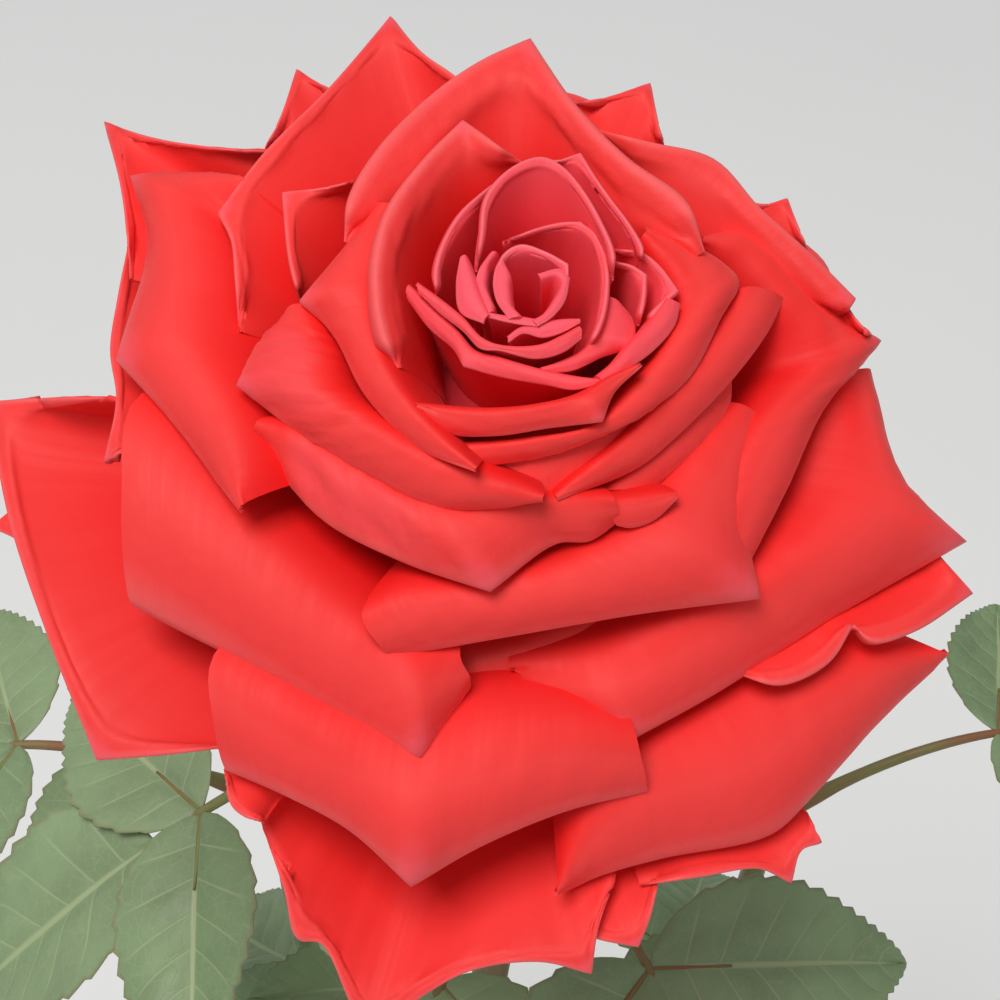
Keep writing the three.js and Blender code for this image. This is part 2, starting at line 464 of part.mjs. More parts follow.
// The bloom in its own frame: every petal, grown together on a small core that fills the middle
function makeBloom() {
  const core = turned([[0, -CORE_FLOOR], [6.5, -CORE_FLOOR], [10.5, -39], [CORE_RADIUS - 2, -29],
    [CORE_RADIUS, -20.5], [15, -15.5], [9.5, -10.8], [0, -9.3]], 12);
  const petals = Object.values(PETALS).map((petal) => blade(petalRows(petal, seen), PETAL_THICKNESS));
  const guards = Object.values(GUARDS).map((petal) => blade(petalRows(petal, below), PETAL_THICKNESS));
  return joined([core, ...petals, ...guards]);
}

// The calyx in the bloom's frame: the hip under the petals, and five sepals that hang back from its rim
function makeCalyx() {
  const top = -CORE_FLOOR - GAP;
  const hip = turned([[0, top - HIP_LENGTH], [3.4, top - HIP_LENGTH], [6.0, top - 11], [7.4, top - 6],
    [6.6, top - 1.5], [6.0, top], [0, top]], 10);
  const sepals = Array.from({ length: 5 }, (_, i) => {
    const turn = (2 * Math.PI * (i + 0.3)) / 5;
    const out = new THREE.Vector3(Math.cos(turn), Math.sin(turn), 0);
    const side = new THREE.Vector3(-Math.sin(turn), Math.cos(turn), 0);
    const along = [[4.5, -1.2, 3.8], [12, -3.5, 4.6], [21, -11, 3.2], [26, -24, 0.6]];
    return blade(along.map(([radius, height, halfWidth]) => [-1, 0, 1].map((across) => out.clone()
      .multiplyScalar(radius).addScaledVector(Z, top + height - 0.35 * Math.abs(across) * halfWidth)
      .addScaledVector(side, across * halfWidth))), 0.8);
  });
  return joined([hip, ...sepals]);
}

function vectors(points) {
  return points.map((point) => new THREE.Vector3(...point));
}

// A cane with its prickles: slim cones that point out and a little down, turned on by the golden angle
function makeCane({ points, radii, prickles }) {
  const path = vectors(points);
  const curve = new THREE.CatmullRomCurve3(path, false, "centripetal");
  const spines = Array.from({ length: prickles }, (_, i) => {
    const along = 0.26 + (0.62 * i) / prickles;
    const turn = THREE.MathUtils.degToRad(137.5) * i + 1.5;
    const outwards = new THREE.Vector3(Math.cos(turn), Math.sin(turn), -0.35).normalize();
    const radius = THREE.MathUtils.lerp(radii[0], radii[1], along);
    const cone = new THREE.ConeGeometry(1.7, 6.5, 4);
    cone.applyQuaternion(new THREE.Quaternion().setFromUnitVectors(new THREE.Vector3(0, 1, 0), outwards));
    cone.translate(...curve.getPointAt(along).addScaledVector(outwards, radius + 2.2).toArray());
    return solidOf(cone);
  });
  return joined([stem(path, radii, CANE_SIDES, CANE_STEPS), ...spines]);
}

// One leaflet from its root along a direction, with its upper side towards up: an arched blade, folded along
// the midrib, whose two edges go out to each tooth's tip and back to the notch after it
function leaflet(root, direction, up, length, width, teeth) {
  const side = direction.clone().cross(up).normalize();
  const top = side.clone().cross(direction).normalize();
  const halfWidth = (t) => (width / 2) * Math.sin(Math.PI * Math.min(1, Math.max(0, t)) ** 0.78) ** 0.75;
  const place = (t, across) => root.clone()
    .addScaledVector(direction, t * length)
    .addScaledVector(side, across)
    .addScaledVector(top, 0.22 * Math.abs(across) - 0.13 * length * t * t);
  const points = [];
  const triangles = [];
  const midrib = [];
  for (let i = 0; i <= teeth; i += 1) {
    midrib.push(points.push(place(i / teeth, 0)) - 1);
  }
  const outline = [[], []];
  [-1, 1].forEach((hand, edge) => {
    for (let i = 0; i < teeth; i += 1) {
      const from = i / teeth;
      const notch = i ? points.push(place(from + 0.02, hand * 0.9 * halfWidth(from + 0.02))) - 1 : midrib[0];
      const tip = points.push(place(from + 0.85 / teeth,
        hand * (halfWidth(from + 0.6 / teeth) + 0.05 * width))) - 1;
      outline[edge].push(notch, tip);
    }
    outline[edge].push(midrib[teeth]);
    for (let i = 0; i < teeth; i += 1) {
      const [notch, tip, next] = outline[edge].slice(2 * i, 2 * i + 3);
      const fan = [[midrib[i], notch, tip], [midrib[i], tip, midrib[i + 1]], [midrib[i + 1], tip, next]];
      fan.filter((t) => new Set(t).size === 3)
        .forEach(([a, b, c]) => triangles.push(...(hand > 0 ? [a, b, c] : [a, c, b])));
    }
  });
  const count = points.length;
  const places = [1, -1].flatMap((face) => points
    .flatMap((point) => point.clone().addScaledVector(top, face * LEAF_THICKNESS / 2).toArray()));
  const all = [...triangles];
  for (let i = 0; i < triangles.length; i += 3) {
    all.push(triangles[i] + count, triangles[i + 2] + count, triangles[i + 1] + count);
  }
  const border = [...outline[1], ...outline[0].slice(1, -1).reverse()];
  border.forEach((a, i) => {
    const b = border[(i + 1) % border.length];
    all.push(b, a, a + count, b, a + count, b + count);
  });
  return closed(places, all);
}

// A leaf on its cane: a stalk that arches over, an end leaflet, and pairs of smaller side leaflets. The stalk
// starts on the cane's middle line and is cut to sit against the cane.
function makeLeaf([caneName, along, heading, rise, reach, leafletLength, pairs]) {
  const { points, radii } = CANES[caneName];
  const curve = new THREE.CatmullRomCurve3(vectors(points), false, "centripetal");
  const turn = THREE.MathUtils.degToRad(heading);
  const level = new THREE.Vector3(Math.cos(turn), Math.sin(turn), 0);
  const climb = Math.tan(THREE.MathUtils.degToRad(rise));
  const start = curve.getPointAt(along);
  const stalk = (t) => start.clone()
    .addScaledVector(level, reach * t)
    .addScaledVector(Z, reach * (climb * t + 0.35 * t - 0.55 * t * t));
  const heads = (t) => stalk(t + 0.01).sub(stalk(t - 0.01)).normalize();
  const steps = [0, 0.2, 0.4, 0.6, 0.8, 1];
  const solids = [stem(steps.map(stalk), [1.3 * STALK_RADIUS, 0.75 * STALK_RADIUS], 4, 5)];
  const across = level.clone().cross(Z);
  const upAt = (t) => across.clone().cross(heads(t)).normalize();
  solids.push(leaflet(stalk(0.985), heads(1), upAt(1), leafletLength, 0.62 * leafletLength, END_TEETH));
  for (let pair = 0; pair < pairs; pair += 1) {
    const t = 0.86 - 0.4 * pair;
    const size = leafletLength * (0.84 - 0.14 * pair);
    for (const hand of [-1, 1]) {
      const direction = heads(t).multiplyScalar(0.42).addScaledVector(across, hand * 0.9).normalize();
      solids.push(leaflet(stalk(t), direction, upAt(t), size, 0.58 * size, END_TEETH - pair));
    }
  }
  const room = stem(vectors(points), radii.map((radius) => radius + GAP), CANE_SIDES, CANE_STEPS);
  return joined(solids).subtract(room);
}

// The pot: one wall round, with a rolled rim, a foot ring under the floor and drain holes
function makePot() {
  const shoulder = POT_HEIGHT - 14;
  const wallRadius = (height) => THREE.MathUtils.lerp(POT_FOOT_RADIUS, POT_RIM_RADIUS - 5, height / POT_HEIGHT);
  const body = turned([[0, 0], [POT_FOOT_RADIUS, 0], [wallRadius(shoulder), shoulder],
    [POT_RIM_RADIUS - 1, shoulder + 1], [POT_RIM_RADIUS, shoulder + 5], [POT_RIM_RADIUS - 0.5, POT_HEIGHT - 3],
    [POT_RIM_RADIUS - 3, POT_HEIGHT], [POT_RIM_RADIUS - 6, POT_HEIGHT - 1],
    [wallRadius(shoulder) - POT_WALL, shoulder], [POT_FOOT_RADIUS - POT_WALL + 0.6, POT_WALL], [0, POT_WALL]],
    POT_SIDES);
  const holes = Array.from({ length: 6 }, (_, i) => {
    const turn = (Math.PI * i) / 3;
    const drill = new THREE.CylinderGeometry(5, 5, 20, 10);
    drill.rotateX(Math.PI / 2);
    drill.translate(46 * Math.cos(turn), 46 * Math.sin(turn), 0);
    return solidOf(drill);
  });
  return holes.reduce((whole, hole) => whole.subtract(hole), body);
}

// The soil: it fills the pot, its top is rough and a little heaped, and each cane stands in a plain hole
function makeSoil() {
  const inner = (height) => THREE.MathUtils.lerp(POT_FOOT_RADIUS - POT_WALL, POT_RIM_RADIUS - 5 - POT_WALL,
    height / POT_HEIGHT) - 1.2;
  const rings = [0, 20, 38, 56, 74];
  const profile = [[0, POT_WALL + GAP], [inner(POT_WALL) - 1, POT_WALL + GAP], [inner(SOIL_LEVEL), SOIL_LEVEL],
    ...rings.map((radius) => [radius, SOIL_LEVEL]).reverse()];
  const outline = profile.map(([radius, height]) => new THREE.Vector2(radius, height));
  const lathe = new THREE.LatheGeometry(outline, SOIL_SIDES);
  lathe.rotateX(Math.PI / 2);
  const places = lathe.attributes.position;
  for (let i = 0; i < places.count; i += 1) {
    const x = places.getX(i);
    const y = places.getY(i);
    if (places.getZ(i) > SOIL_LEVEL - 1 && Math.hypot(x, y) < 80) {
      const clods = 1.8 * Math.sin(0.21 * x + 1) * Math.cos(0.17 * y) + 1.2 * Math.sin(0.33 * y - 0.12 * x);
      places.setZ(i, SOIL_LEVEL + clods + 2.5 * Math.cos(Math.hypot(x, y) / 52));
    }
  }
  const raw = solidOf(lathe);
  const soil = raw.volume() > 0 ? raw : solidOf(flipped(lathe));
  const holes = Object.values(CANES).map(({ points, radii }) => {
    const radius = (radii[0] + GAP) / Math.cos(Math.PI / 12) + 0.1;
    const depth = 2 * PLANTING_DEPTH;
    const drill = new THREE.CylinderGeometry(radius, radius, depth, 12);
    drill.rotateX(Math.PI / 2);
    drill.translate(points[0][0], points[0][1], CANE_FOOT - GAP + depth / 2);
    return solidOf(drill);
  });
  return holes.reduce((whole, hole) => whole.subtract(hole), soil);
}

function finish(color, roughness) {
  return new THREE.MeshStandardMaterial({ color, roughness, metalness: 0 });
}

function meshOf(name, solid, material, smallest = 0.02) {
  const mesh = new THREE.Mesh(geometryOf(solid, smallest), material);
  mesh.name = name;
  return mesh;
}

const rose = new THREE.Group();
rose.add(meshOf("pot", makePot(), finish(0xd9d9d2, 0.5)));
rose.add(meshOf("soil", makeSoil(), finish(0x3a2a20, 0.95)));
for (const [name, cane] of Object.entries(CANES)) {
  rose.add(meshOf(name, makeCane(cane), finish(0x5f7a3c, 0.55)));
}
for (const [name, leaf] of Object.entries(LEAVES)) {
  rose.add(meshOf(name, makeLeaf(leaf), finish(0x7f9868, 0.6), LEAF_SMALLEST));
}

const flower = new THREE.Group();
flower.position.set(0, 0, HEART_HEIGHT);
flower.rotation.x = BLOOM_LEAN;
flower.add(meshOf("calyx", makeCalyx(), finish(0x6f8a4c, 0.6)));
flower.add(meshOf("bloom", makeBloom(), finish(0xe8322f, 0.55)));
rose.add(flower);

export default rose;
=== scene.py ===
"""A potted rose in full bloom, dressed over its plain solids: petals, leaves, canes, calyx, soil and pot.

Shapes are worked out in millimetres in the frame's own axes, +Z up with the origin in the middle of the
pot's underside, and go into the meshes in metres.
"""

import bpy
import numpy as np
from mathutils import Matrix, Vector


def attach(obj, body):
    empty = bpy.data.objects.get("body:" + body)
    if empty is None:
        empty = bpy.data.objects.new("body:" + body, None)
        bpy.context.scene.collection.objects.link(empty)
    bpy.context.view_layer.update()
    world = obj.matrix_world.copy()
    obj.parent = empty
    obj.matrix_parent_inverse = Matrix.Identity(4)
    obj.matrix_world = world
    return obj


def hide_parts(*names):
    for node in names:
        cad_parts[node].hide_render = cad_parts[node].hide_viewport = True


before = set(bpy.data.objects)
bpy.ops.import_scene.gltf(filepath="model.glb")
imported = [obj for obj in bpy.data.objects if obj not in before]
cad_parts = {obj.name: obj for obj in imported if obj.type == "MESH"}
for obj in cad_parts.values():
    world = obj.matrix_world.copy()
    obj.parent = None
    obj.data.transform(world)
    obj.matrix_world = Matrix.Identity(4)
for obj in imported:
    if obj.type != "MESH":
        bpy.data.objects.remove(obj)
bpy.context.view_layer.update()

# Driving dimensions in millimetres, the same as the solids'
METRE = 1000.0
GAP = 0.3
POT_HEIGHT = 170.0
POT_RIM_RADIUS = 98.0
POT_FOOT_RADIUS = 68.0
POT_WALL = 3.0
DRAIN_RADIUS = 5.0
DRAIN_CIRCLE = 46.0
SOIL_LEVEL = 152.0
PLANTING_DEPTH = 42.0
HEART_HEIGHT = 540.0
BLOOM_LEAN = np.radians(14)
BLOOM_DEPTH = 46.0
CORE_FLOOR = BLOOM_DEPTH + 1.5
HIP_LENGTH = 15.0
GOLDEN_TURN = np.radians(137.5)

# The eye that the petals' rims are drawn from, in the bloom's frame: heart at the origin, axis along +Z
EYE_DISTANCE = 170.0
EYE_FROM_AXIS = np.radians(27)
EYE_BELOW_HEART = 21.5
EYE_LEFT_OF_HEART = 2.5
PICTURE_UP = np.array([0, np.cos(EYE_FROM_AXIS), np.sin(EYE_FROM_AXIS)])
EYE = (EYE_DISTANCE * np.array([0, -np.sin(EYE_FROM_AXIS), np.cos(EYE_FROM_AXIS)])
       - EYE_BELOW_HEART * PICTURE_UP - [EYE_LEFT_OF_HEART, 0, 0])
PICTURE_WIDTH = 100.0
UP = np.array([0.0, 0.0, 1.0])

# The dome that the petals stand on, flatter than the solids': z = lift - x^2 / DOME_FRONT - y^2 / DOME_FRONT
# on the eye's side, and with DOME_BACK under y^2 behind the axis
DOME_FRONT = 200.0
DOME_BACK = 320.0

# How fine a petal is: steps between two points of its rim, and rows from foot to neck, to shoulder, to crest,
# to belly, to rim and to the rim's turned-in end. MEASURED_ROW is the row whose length is the petal's width
RIM_STEPS = 8
PETAL_ROWS = (2, 4, 10, 5, 5, 5)
MEASURED_ROW = -9

# How a petal is formed. Its foot stands on a circle of FOOT_RADIUS + FOOT_SPREAD * r, its neck lies NECK_OUT
# of the way out to the shoulder, and a fold reaches its full size where crest and rim are FULL_FOLD apart
PETAL_THICKNESS = 0.42
FOOT_RADIUS = 1.5
FOOT_SPREAD = 0.1
NECK_OUT = 0.55
BELLY = 0.16
FULL_FOLD = 3.0
TIP_RISE = 0.5
TIP_SPREAD = 0.4

# The two ends of a rolled edge: the share over which the roll opens from LEAST_ROLL of its width, the share
# tucked under, and how deep. ROLL_RISE is how far the crest stands up, as a share of the roll
ROLL_OPENS = 0.16
LEAST_ROLL = 0.08
TUCKED_SHARE = 0.1
END_TUCK = 2.5
ROLL_RISE = 0.3

# How far a rim turns back in and down, as shares of "under" for a fold and of "roll" for a rolled edge
FOLD_TURNS = (0.7, 0.8)
ROLL_TURNS = (0.4, 0.5)

# How far lines are evened out, in steps of the rim: a rolled edge's crest, the shoulder, the rim's direction
CREST_EVENED = 0.7 * RIM_STEPS
SHOULDER_EVENED = 1.3 * RIM_STEPS
RIM_EVENED = 0.6 * RIM_STEPS

# Soft waves, as a share of the petal's width; puckers, as a share of it up to WIDEST_PUCKERED; and how much
# nearer the rim the broad face of a petal without a crest takes its colour from, a painted light on that face
WAVES = 0.012
PUCKERS = 0.003
WIDEST_PUCKERED = 60
FACE_PAINTED_LIGHT = 0.05

# Each petal's lines are [right, up] on the picture plane. rim is its visible edge, and crest, where given,
# the top of the fold that hangs down to that edge. lift is the height over the dome, or one at each end of
# the line, drop how far the rim hangs below the crest, and under how far it turns in. reach and depth say how
# far in and how far down the petal bends to run to its foot. roll is the width of a rolled-back edge, corners
# are the numbers of the rim's pointed places, and crinkle is the height of its crinkles.
PETALS = {
    "heart_back": dict(lift=1.2, roll=0.4, reach=0.8, depth=9, corners=[4],
        rim=[[-2.8, 1], [-2.2, 2.8], [-0.5, 3.9], [2, 3.2], [4.2, 2], [4.3, 0]]),
    "heart_right": dict(lift=0.8, drop=0.6, reach=0.75, depth=9, under=0.5, corners=[2],
        crest=[[1.5, 0.6], [3.1, 0.9], [3.7, 0.2], [3.1, -1.5], [2, -3], [0.8, -3.7]],
        rim=[[1.3, 1], [3.5, 1.5], [4.4, 0.7], [3.9, -1.6], [2.6, -3.2], [1.2, -4.1]]),
    "heart_left": dict(lift=1.0, drop=0.6, reach=0.7, depth=9, under=0.5,
        crest=[[-2.3, 2.3], [-1.7, 1], [-1.7, -0.5], [-1.5, -2], [-0.5, -3.3]],
        rim=[[-2.5, 2.4], [-2.9, 1.5], [-3.1, 0], [-2.7, -1.7], [-1.5, -3.4]]),
    "heart_left_wrap": dict(lift=0.6, drop=0.6, reach=0.75, depth=9, under=0.5,
        crest=[[-3, 3.3], [-3.9, 1.7], [-4.1, 0], [-3.5, -1.7], [-3.3, -2.7]],
        rim=[[-3.5, 3], [-4.5, 1.5], [-4.8, 0.1], [-4.3, -1.5], [-3.7, -3]]),
    "heart_left_tongue": dict(lift=0.9, drop=1.2, reach=0.75, depth=9, under=0.5,
        crest=[[-6.1, 2.9], [-5.4, 1], [-4.6, -1.2], [-3.7, -3.1]],
        rim=[[-6.4, 2.7], [-6.8, 0], [-6.4, -2.7], [-4.1, -3.8]]),
    "heart_front": dict(lift=0.6, drop=0.4, reach=0.75, depth=9, under=0.5,
        crest=[[-3.7, -2.9], [-2, -3.2], [-0.3, -3.4], [1.5, -3.7]],
        rim=[[-3.6, -3.2], [-2, -3.6], [-0.3, -3.9], [1.3, -4.1]]),
    "heart_front_wrap": dict(lift=0.2, drop=0.8, reach=0.75, depth=9, under=0.5,
        crest=[[-1.7, -5.3], [-0.5, -4.4], [1.5, -4.1], [3.5, -3.7], [5.5, -3.6]],
        rim=[[-1.7, -5.7], [-0.2, -4.8], [1.8, -5.2], [3.7, -4.7], [5.5, -3.7]]),
    "cup_inner": dict(lift=0.3, roll=0.5, reach=0.8, depth=10, corners=[3],
        rim=[[-2.2, 4.2], [0.5, 5.3], [3.5, 6.1], [5.5, 6.2], [7.1, 4.8], [8.1, 2], [8.1, -1.5],
            [7.3, -4.5], [6, -6.7]]),
    "cup_front": dict(lift=0.4, drop=1.0, reach=0.8, depth=10, under=0.8,
        crest=[[-10.8, 0.2], [-8.5, -1.6], [-6.3, -3.5], [-4.5, -5.3], [-2.5, -6.1], [1.5, -6.1],
            [3.7, -5.4], [5.6, -4.5]],
        rim=[[-10.5, -0.8], [-8.3, -2.9], [-6.1, -4.6], [-4.4, -6.3], [-2.5, -6.5], [1, -7.3], [3.7, -6.7],
            [5.6, -5.3]]),
    "cup_front_wrap": dict(lift=-0.9, drop=1.4, reach=0.82, depth=12, under=0.8, corners=[3],
        crest=[[-11.7, -0.1], [-9.5, -2.3], [-7, -4.7], [-5.3, -6.7], [-2.5, -7.5], [1.5, -8.6], [5, -9.3],
            [7.5, -9.5]],
        rim=[[-11.5, -1.6], [-9.5, -4.3], [-7, -6.5], [-6.1, -8.1], [-2.5, -9.1], [2, -9.9], [5, -10.4],
            [7.8, -9.6]]),
    "cup_right_low": dict(lift=-1.2, drop=1.5, reach=0.8, depth=12, under=0.8, corners=[3],
        crest=[[1.5, -8.4], [4, -7.5], [6, -6.5], [7.2, -5], [7.8, -3], [8.4, -1.2]],
        rim=[[2, -8.7], [4.7, -8.5], [7.8, -7.1], [10.7, -6.3], [10.9, -4], [9.3, -1.7]]),
    "cup_back": dict(lift=1.9, roll=0.7, reach=0.72, depth=10,
        rim=[[-4.9, 1.3], [-4.4, 4.5], [-3.8, 8.8], [-1.5, 11.5], [1.5, 12.7], [3.5, 11.9], [5.5, 9.7],
            [7.5, 6.3], [8.8, 3], [8.7, 0.5]]),
    "cup_left": dict(lift=0.6, roll=0.9, reach=0.75, depth=10,
        rim=[[-8.8, -1.3], [-8.9, 1.5], [-8.2, 4], [-6.5, 7], [-4.3, 9.1], [-2, 10.9]]),
    "cup_back_right": dict(lift=1.0, roll=0.6, reach=0.75, depth=10, corners=[2],
        rim=[[2, 12.3], [3.7, 12.5], [5.5, 13.1], [6.7, 11.1], [8.5, 8.5], [10.3, 6.1], [11.7, 3.5],
            [11.5, 2.3]]),
    "cup_right_tip": dict(lift=-0.2, roll=0.6, reach=0.8, depth=10, corners=[2],
        rim=[[8.7, 2.3], [10.5, 1.9], [12, 1], [11.9, -1], [11.4, -4]]),
    "cup_right": dict(lift=-0.6, roll=0.6, reach=0.75, depth=10, corners=[3],
        rim=[[8.7, 3.5], [11.5, 3.2], [13.3, 1.9], [15.2, -0.6], [13.5, -2.1], [12, -4]]),
    "cup_right_front": dict(lift=-0.6, drop=1.2, reach=0.78, depth=12, under=0.8,
        crest=[[14.3, -1.5], [13, -3.3], [11.5, -5], [9.5, -7.2], [7.3, -9.3]],
        rim=[[15.4, -1.9], [14.9, -4], [13, -6.3], [10.7, -8.1], [7.9, -10.3]]),
    "second_front": dict(lift=0.2, drop=2.0, reach=0.72, depth=12, under=1.1, corners=[4],
        crest=[[-11, -11.9], [-7, -12.5], [-2.5, -12.6], [2.5, -11.9], [6, -10.8], [8.7, -9.2],
            [11.6, -7.9]],
        rim=[[-10.5, -12.5], [-7.8, -14.7], [-3, -15], [2.5, -14.2], [7.7, -13.6], [8.8, -10.8],
            [11.6, -8.1]]),
    "second_right": dict(lift=[-1.6, -2.6], drop=2.2, reach=0.72, depth=12, under=1.1,
        crest=[[12, 5], [15.3, 1], [15.8, -2], [13.7, -6], [10.5, -10], [7, -13.8], [0.5, -15.4],
            [-7.5, -16.2]],
        rim=[[12, 5.7], [17.5, 3.5], [21.3, 0.3], [19.7, -2.7], [16.5, -9], [12.5, -12.1], [3.5, -16.6],
            [-8.2, -18.6]]),
    "second_left": dict(lift=1.5, roll=4.4, reach=0.68, depth=11, corners=[6],
        rim=[[-12.7, -8.3], [-14.2, -5], [-14.9, -1.5], [-14.9, 3], [-13.5, 7.7], [-10, 12.5],
            [-6.2, 16.4], [-3.5, 14.4], [-0.3, 12.2]]),
    "second_left_low": dict(lift=-1.5, roll=1.2, reach=0.78, depth=11,
        rim=[[-12.9, -7.5], [-12.6, -9.3], [-11.8, -10.7], [-10.7, -11.8]]),
    "second_under": dict(lift=-5.5, drop=2.5, reach=0.7, depth=9, under=1.0,
        crest=[[-7, -16.5], [-1, -15.5], [5, -13.5], [10, -10], [14, -6]],
        rim=[[-7, -20.5], [0, -22.3], [7, -19.5], [13, -14], [18, -7.5]]),
    "third_left": dict(lift=0.2, drop=2.6, reach=0.7, depth=11, under=1.4, corners=[2],
        crest=[[-13.2, 7.8], [-14.8, 4], [-15.3, -0.5], [-15.1, -4.5], [-13, -9.5], [-9.5, -14],
            [-4.9, -18.4]],
        rim=[[-14.5, 8.1], [-18.2, 3.3], [-22.5, -1.7], [-19.3, -4.7], [-15.7, -11.3], [-10.5, -16.3],
            [-4.9, -18.6]]),
    "third_front_left": dict(crinkle=0.8, lift=[-1.8, -2.6], drop=3.4, reach=0.65, depth=10, under=1.4,
        corners=[2],
        crest=[[-22.3, -1.9], [-20.3, -6], [-19.3, -10.3], [-15, -13.8], [-9.5, -17], [-3.5, -19.3],
            [1.8, -21.3]],
        rim=[[-24, -3.7], [-26.9, -6.5], [-28.8, -10], [-22.5, -14.8], [-15.5, -19], [-8.5, -22.2],
            [1.8, -21.6]]),
    "third_right": dict(lift=[-4.2, -5.6], drop=2.6, reach=0.65, depth=11, under=1.4,
        crest=[[21.7, -0.2], [19.7, -3.3], [16.5, -8.3], [12.5, -12.7], [8, -17], [3.1, -21.1]],
        rim=[[25.8, -1.4], [24.3, -4.5], [21, -9], [16.5, -13.7], [11.5, -18], [3.2, -21.5]]),
    "third_right_under": dict(lift=-9.0, drop=1.5, reach=0.65, depth=10, under=1.4,
        crest=[[17.5, -4.5], [16.5, -11.5], [12.5, -16.5], [7.5, -20.5]],
        rim=[[20.6, -9], [20.3, -12.3], [17.5, -16.2], [12.5, -20.5]]),
    "third_back": dict(lift=0.8, roll=6, reach=0.6, depth=10, corners=[5],
        rim=[[-18, 4.3], [-17.5, 8.5], [-14.5, 13.7], [-9.5, 18.8], [-4.5, 22.3], [0.5, 24.6], [4.7, 18.2],
            [10, 12.7], [16, 8.2], [17.9, 3.3]]),
    "fourth_front": dict(crinkle=0.8, lift=[-5.6, -6.4], drop=3.4, reach=0.62, depth=10, under=1.4,
        corners=[3],
        crest=[[-26.7, -13.9], [-21.5, -14.7], [-15.5, -18.5], [-8.5, -21.3], [-0.5, -21.3], [5.5, -21.2],
            [8.9, -21.4]],
        rim=[[-26.3, -15.5], [-20.7, -23], [-12.5, -27.5], [-3.5, -30.6], [3.1, -25.8], [6.5, -25.5],
            [9.3, -23.5]]),
    "fourth_front_lobe": dict(lift=-7.5, drop=1.5, reach=0.62, depth=10, under=1.4,
        crest=[[7.5, -21.5], [10, -21.4], [12.5, -21.1], [15.2, -20.9]],
        rim=[[9.3, -24], [10.6, -24.2], [12.8, -23.5], [15.3, -21.2]]),
    "fourth_right": dict(lift=[-5.0, -11.5], drop=2.6, reach=0.6, depth=9, under=1.4, corners=[4],
        crest=[[17.6, 4.3], [21.5, 2.6], [26, -1.6], [29, -5.1], [29.2, -7.5], [26.3, -10.7],
            [22.8, -14.9], [20.5, -20.5], [19.7, -27.5]],
        rim=[[17.8, 4.7], [22.5, 5.4], [27.5, 0.5], [32, -3.7], [35.5, -5.6], [33.3, -7.7], [29.7, -12.3],
            [26.5, -19.5], [22.3, -27.8]]),
    "fourth_back_right": dict(lift=[-2.5, -5.0], roll=4, reach=0.55, depth=9, corners=[5],
        rim=[[7.3, 15.4], [12.5, 14.2], [18.9, 12.5], [23.5, 7.6], [28.5, 3.1], [33, -1.4], [32.1, -2.8]]),
    "fourth_left_inner": dict(lift=-2.8, roll=0.9, reach=0.65, depth=10, corners=[2],
        rim=[[-22.5, -1.5], [-23.5, 2.5], [-24.2, 9.2], [-20.5, 9.6], [-16.9, 10.4]]),
    "fourth_back_left": dict(lift=[-4.0, -2.5], roll=1.8, reach=0.55, depth=9, corners=[3, 6],
        rim=[[-28.5, -4.7], [-28.9, 0.5], [-29.3, 4.5], [-30.6, 7.2], [-26, 13.2], [-19.5, 19.7],
            [-13.4, 26.8], [-10.5, 23.3], [-6.9, 20.7], [-3.5, 17.5]]),
    "fifth_front": dict(lift=[-9.4, -10.0], drop=4.0, reach=0.58, depth=9, under=1.8, corners=[4],
        crest=[[-16.3, -33.1], [-12.5, -30.9], [-5.5, -30], [3.5, -27.7], [11.5, -23.1], [16.7, -17],
            [21.3, -11.9]],
        rim=[[-13.3, -37.1], [-7.5, -36.1], [0.5, -34.7], [11.5, -32.8], [23.5, -31.3], [22.3, -25.5],
            [24.4, -14.9]]),
    "fifth_left": dict(lift=[-3.5, -5.0], drop=3.2, reach=0.55, depth=8, under=1.8, corners=[2, 4],
        crest=[[-27.5, 10], [-31, 8.5], [-32.5, 7], [-32, 2.5], [-31.6, -5.5], [-28.8, -13.5],
            [-28.2, -21.9]],
        rim=[[-28.5, 10.7], [-33.5, 10.7], [-39.3, 10.7], [-37.5, 4.5], [-40.8, -7.5], [-34.5, -14.5],
            [-28.4, -22.7]]),
    "sixth_front_left": dict(lift=[-8.4, -14.2], drop=4.4, reach=0.55, depth=8, under=2, corners=[5],
        crest=[[-38.3, -11.1], [-34, -15.5], [-28.5, -22.3], [-22.5, -28.5], [-16.5, -33.7], [-11, -36.7],
            [-6.5, -37]],
        rim=[[-39.2, -32], [-34.5, -34.5], [-29.5, -37], [-23.5, -40.3], [-17.5, -43.7], [-10.5, -47.4],
            [-5.9, -40.5]]),
    "sixth_under": dict(lift=-19.5, drop=2.0, reach=0.55, depth=6, under=1.5,
        crest=[[-10, -37.5], [-5, -36.2], [0, -35.2], [5, -33.5], [10, -31.5]],
        rim=[[-10, -41], [-4, -40.5], [2, -39.5], [8, -37], [12, -34]]),
    "sixth_right": dict(lift=[-18.5, -12.0], drop=4.0, reach=0.55, depth=7, under=2, corners=[1, 4],
        crest=[[-1.5, -38.5], [7.5, -37.5], [15.5, -33.5], [23.5, -28.5], [30.5, -21.5], [32.5, -15.5],
            [32.5, -8.5]],
        rim=[[0, -40], [10.3, -45.6], [19.5, -40.5], [29.5, -34], [44.1, -25.6], [38, -21], [34.3, -8.7]]),
    "outer_back": dict(lift=-5.0, roll=1.2, reach=0.5, depth=4, corners=[2],
        rim=[[-26.2, 13.2], [-24.3, 17], [-22.8, 21.5], [-21.3, 20.5], [-17, 18.3]]),
    "outer_back_right": dict(lift=-5.0, roll=1.2, reach=0.5, depth=4, corners=[2],
        rim=[[4.7, 18.1], [8.5, 18.8], [12.5, 20.1], [13.1, 17], [13.9, 13.7]]),
    "outer_right": dict(lift=-6.0, roll=1, reach=0.5, depth=4, corners=[2],
        rim=[[21, 8.5], [24, 8], [26.2, 8.6], [26.9, 6.7], [28.5, 3]]),
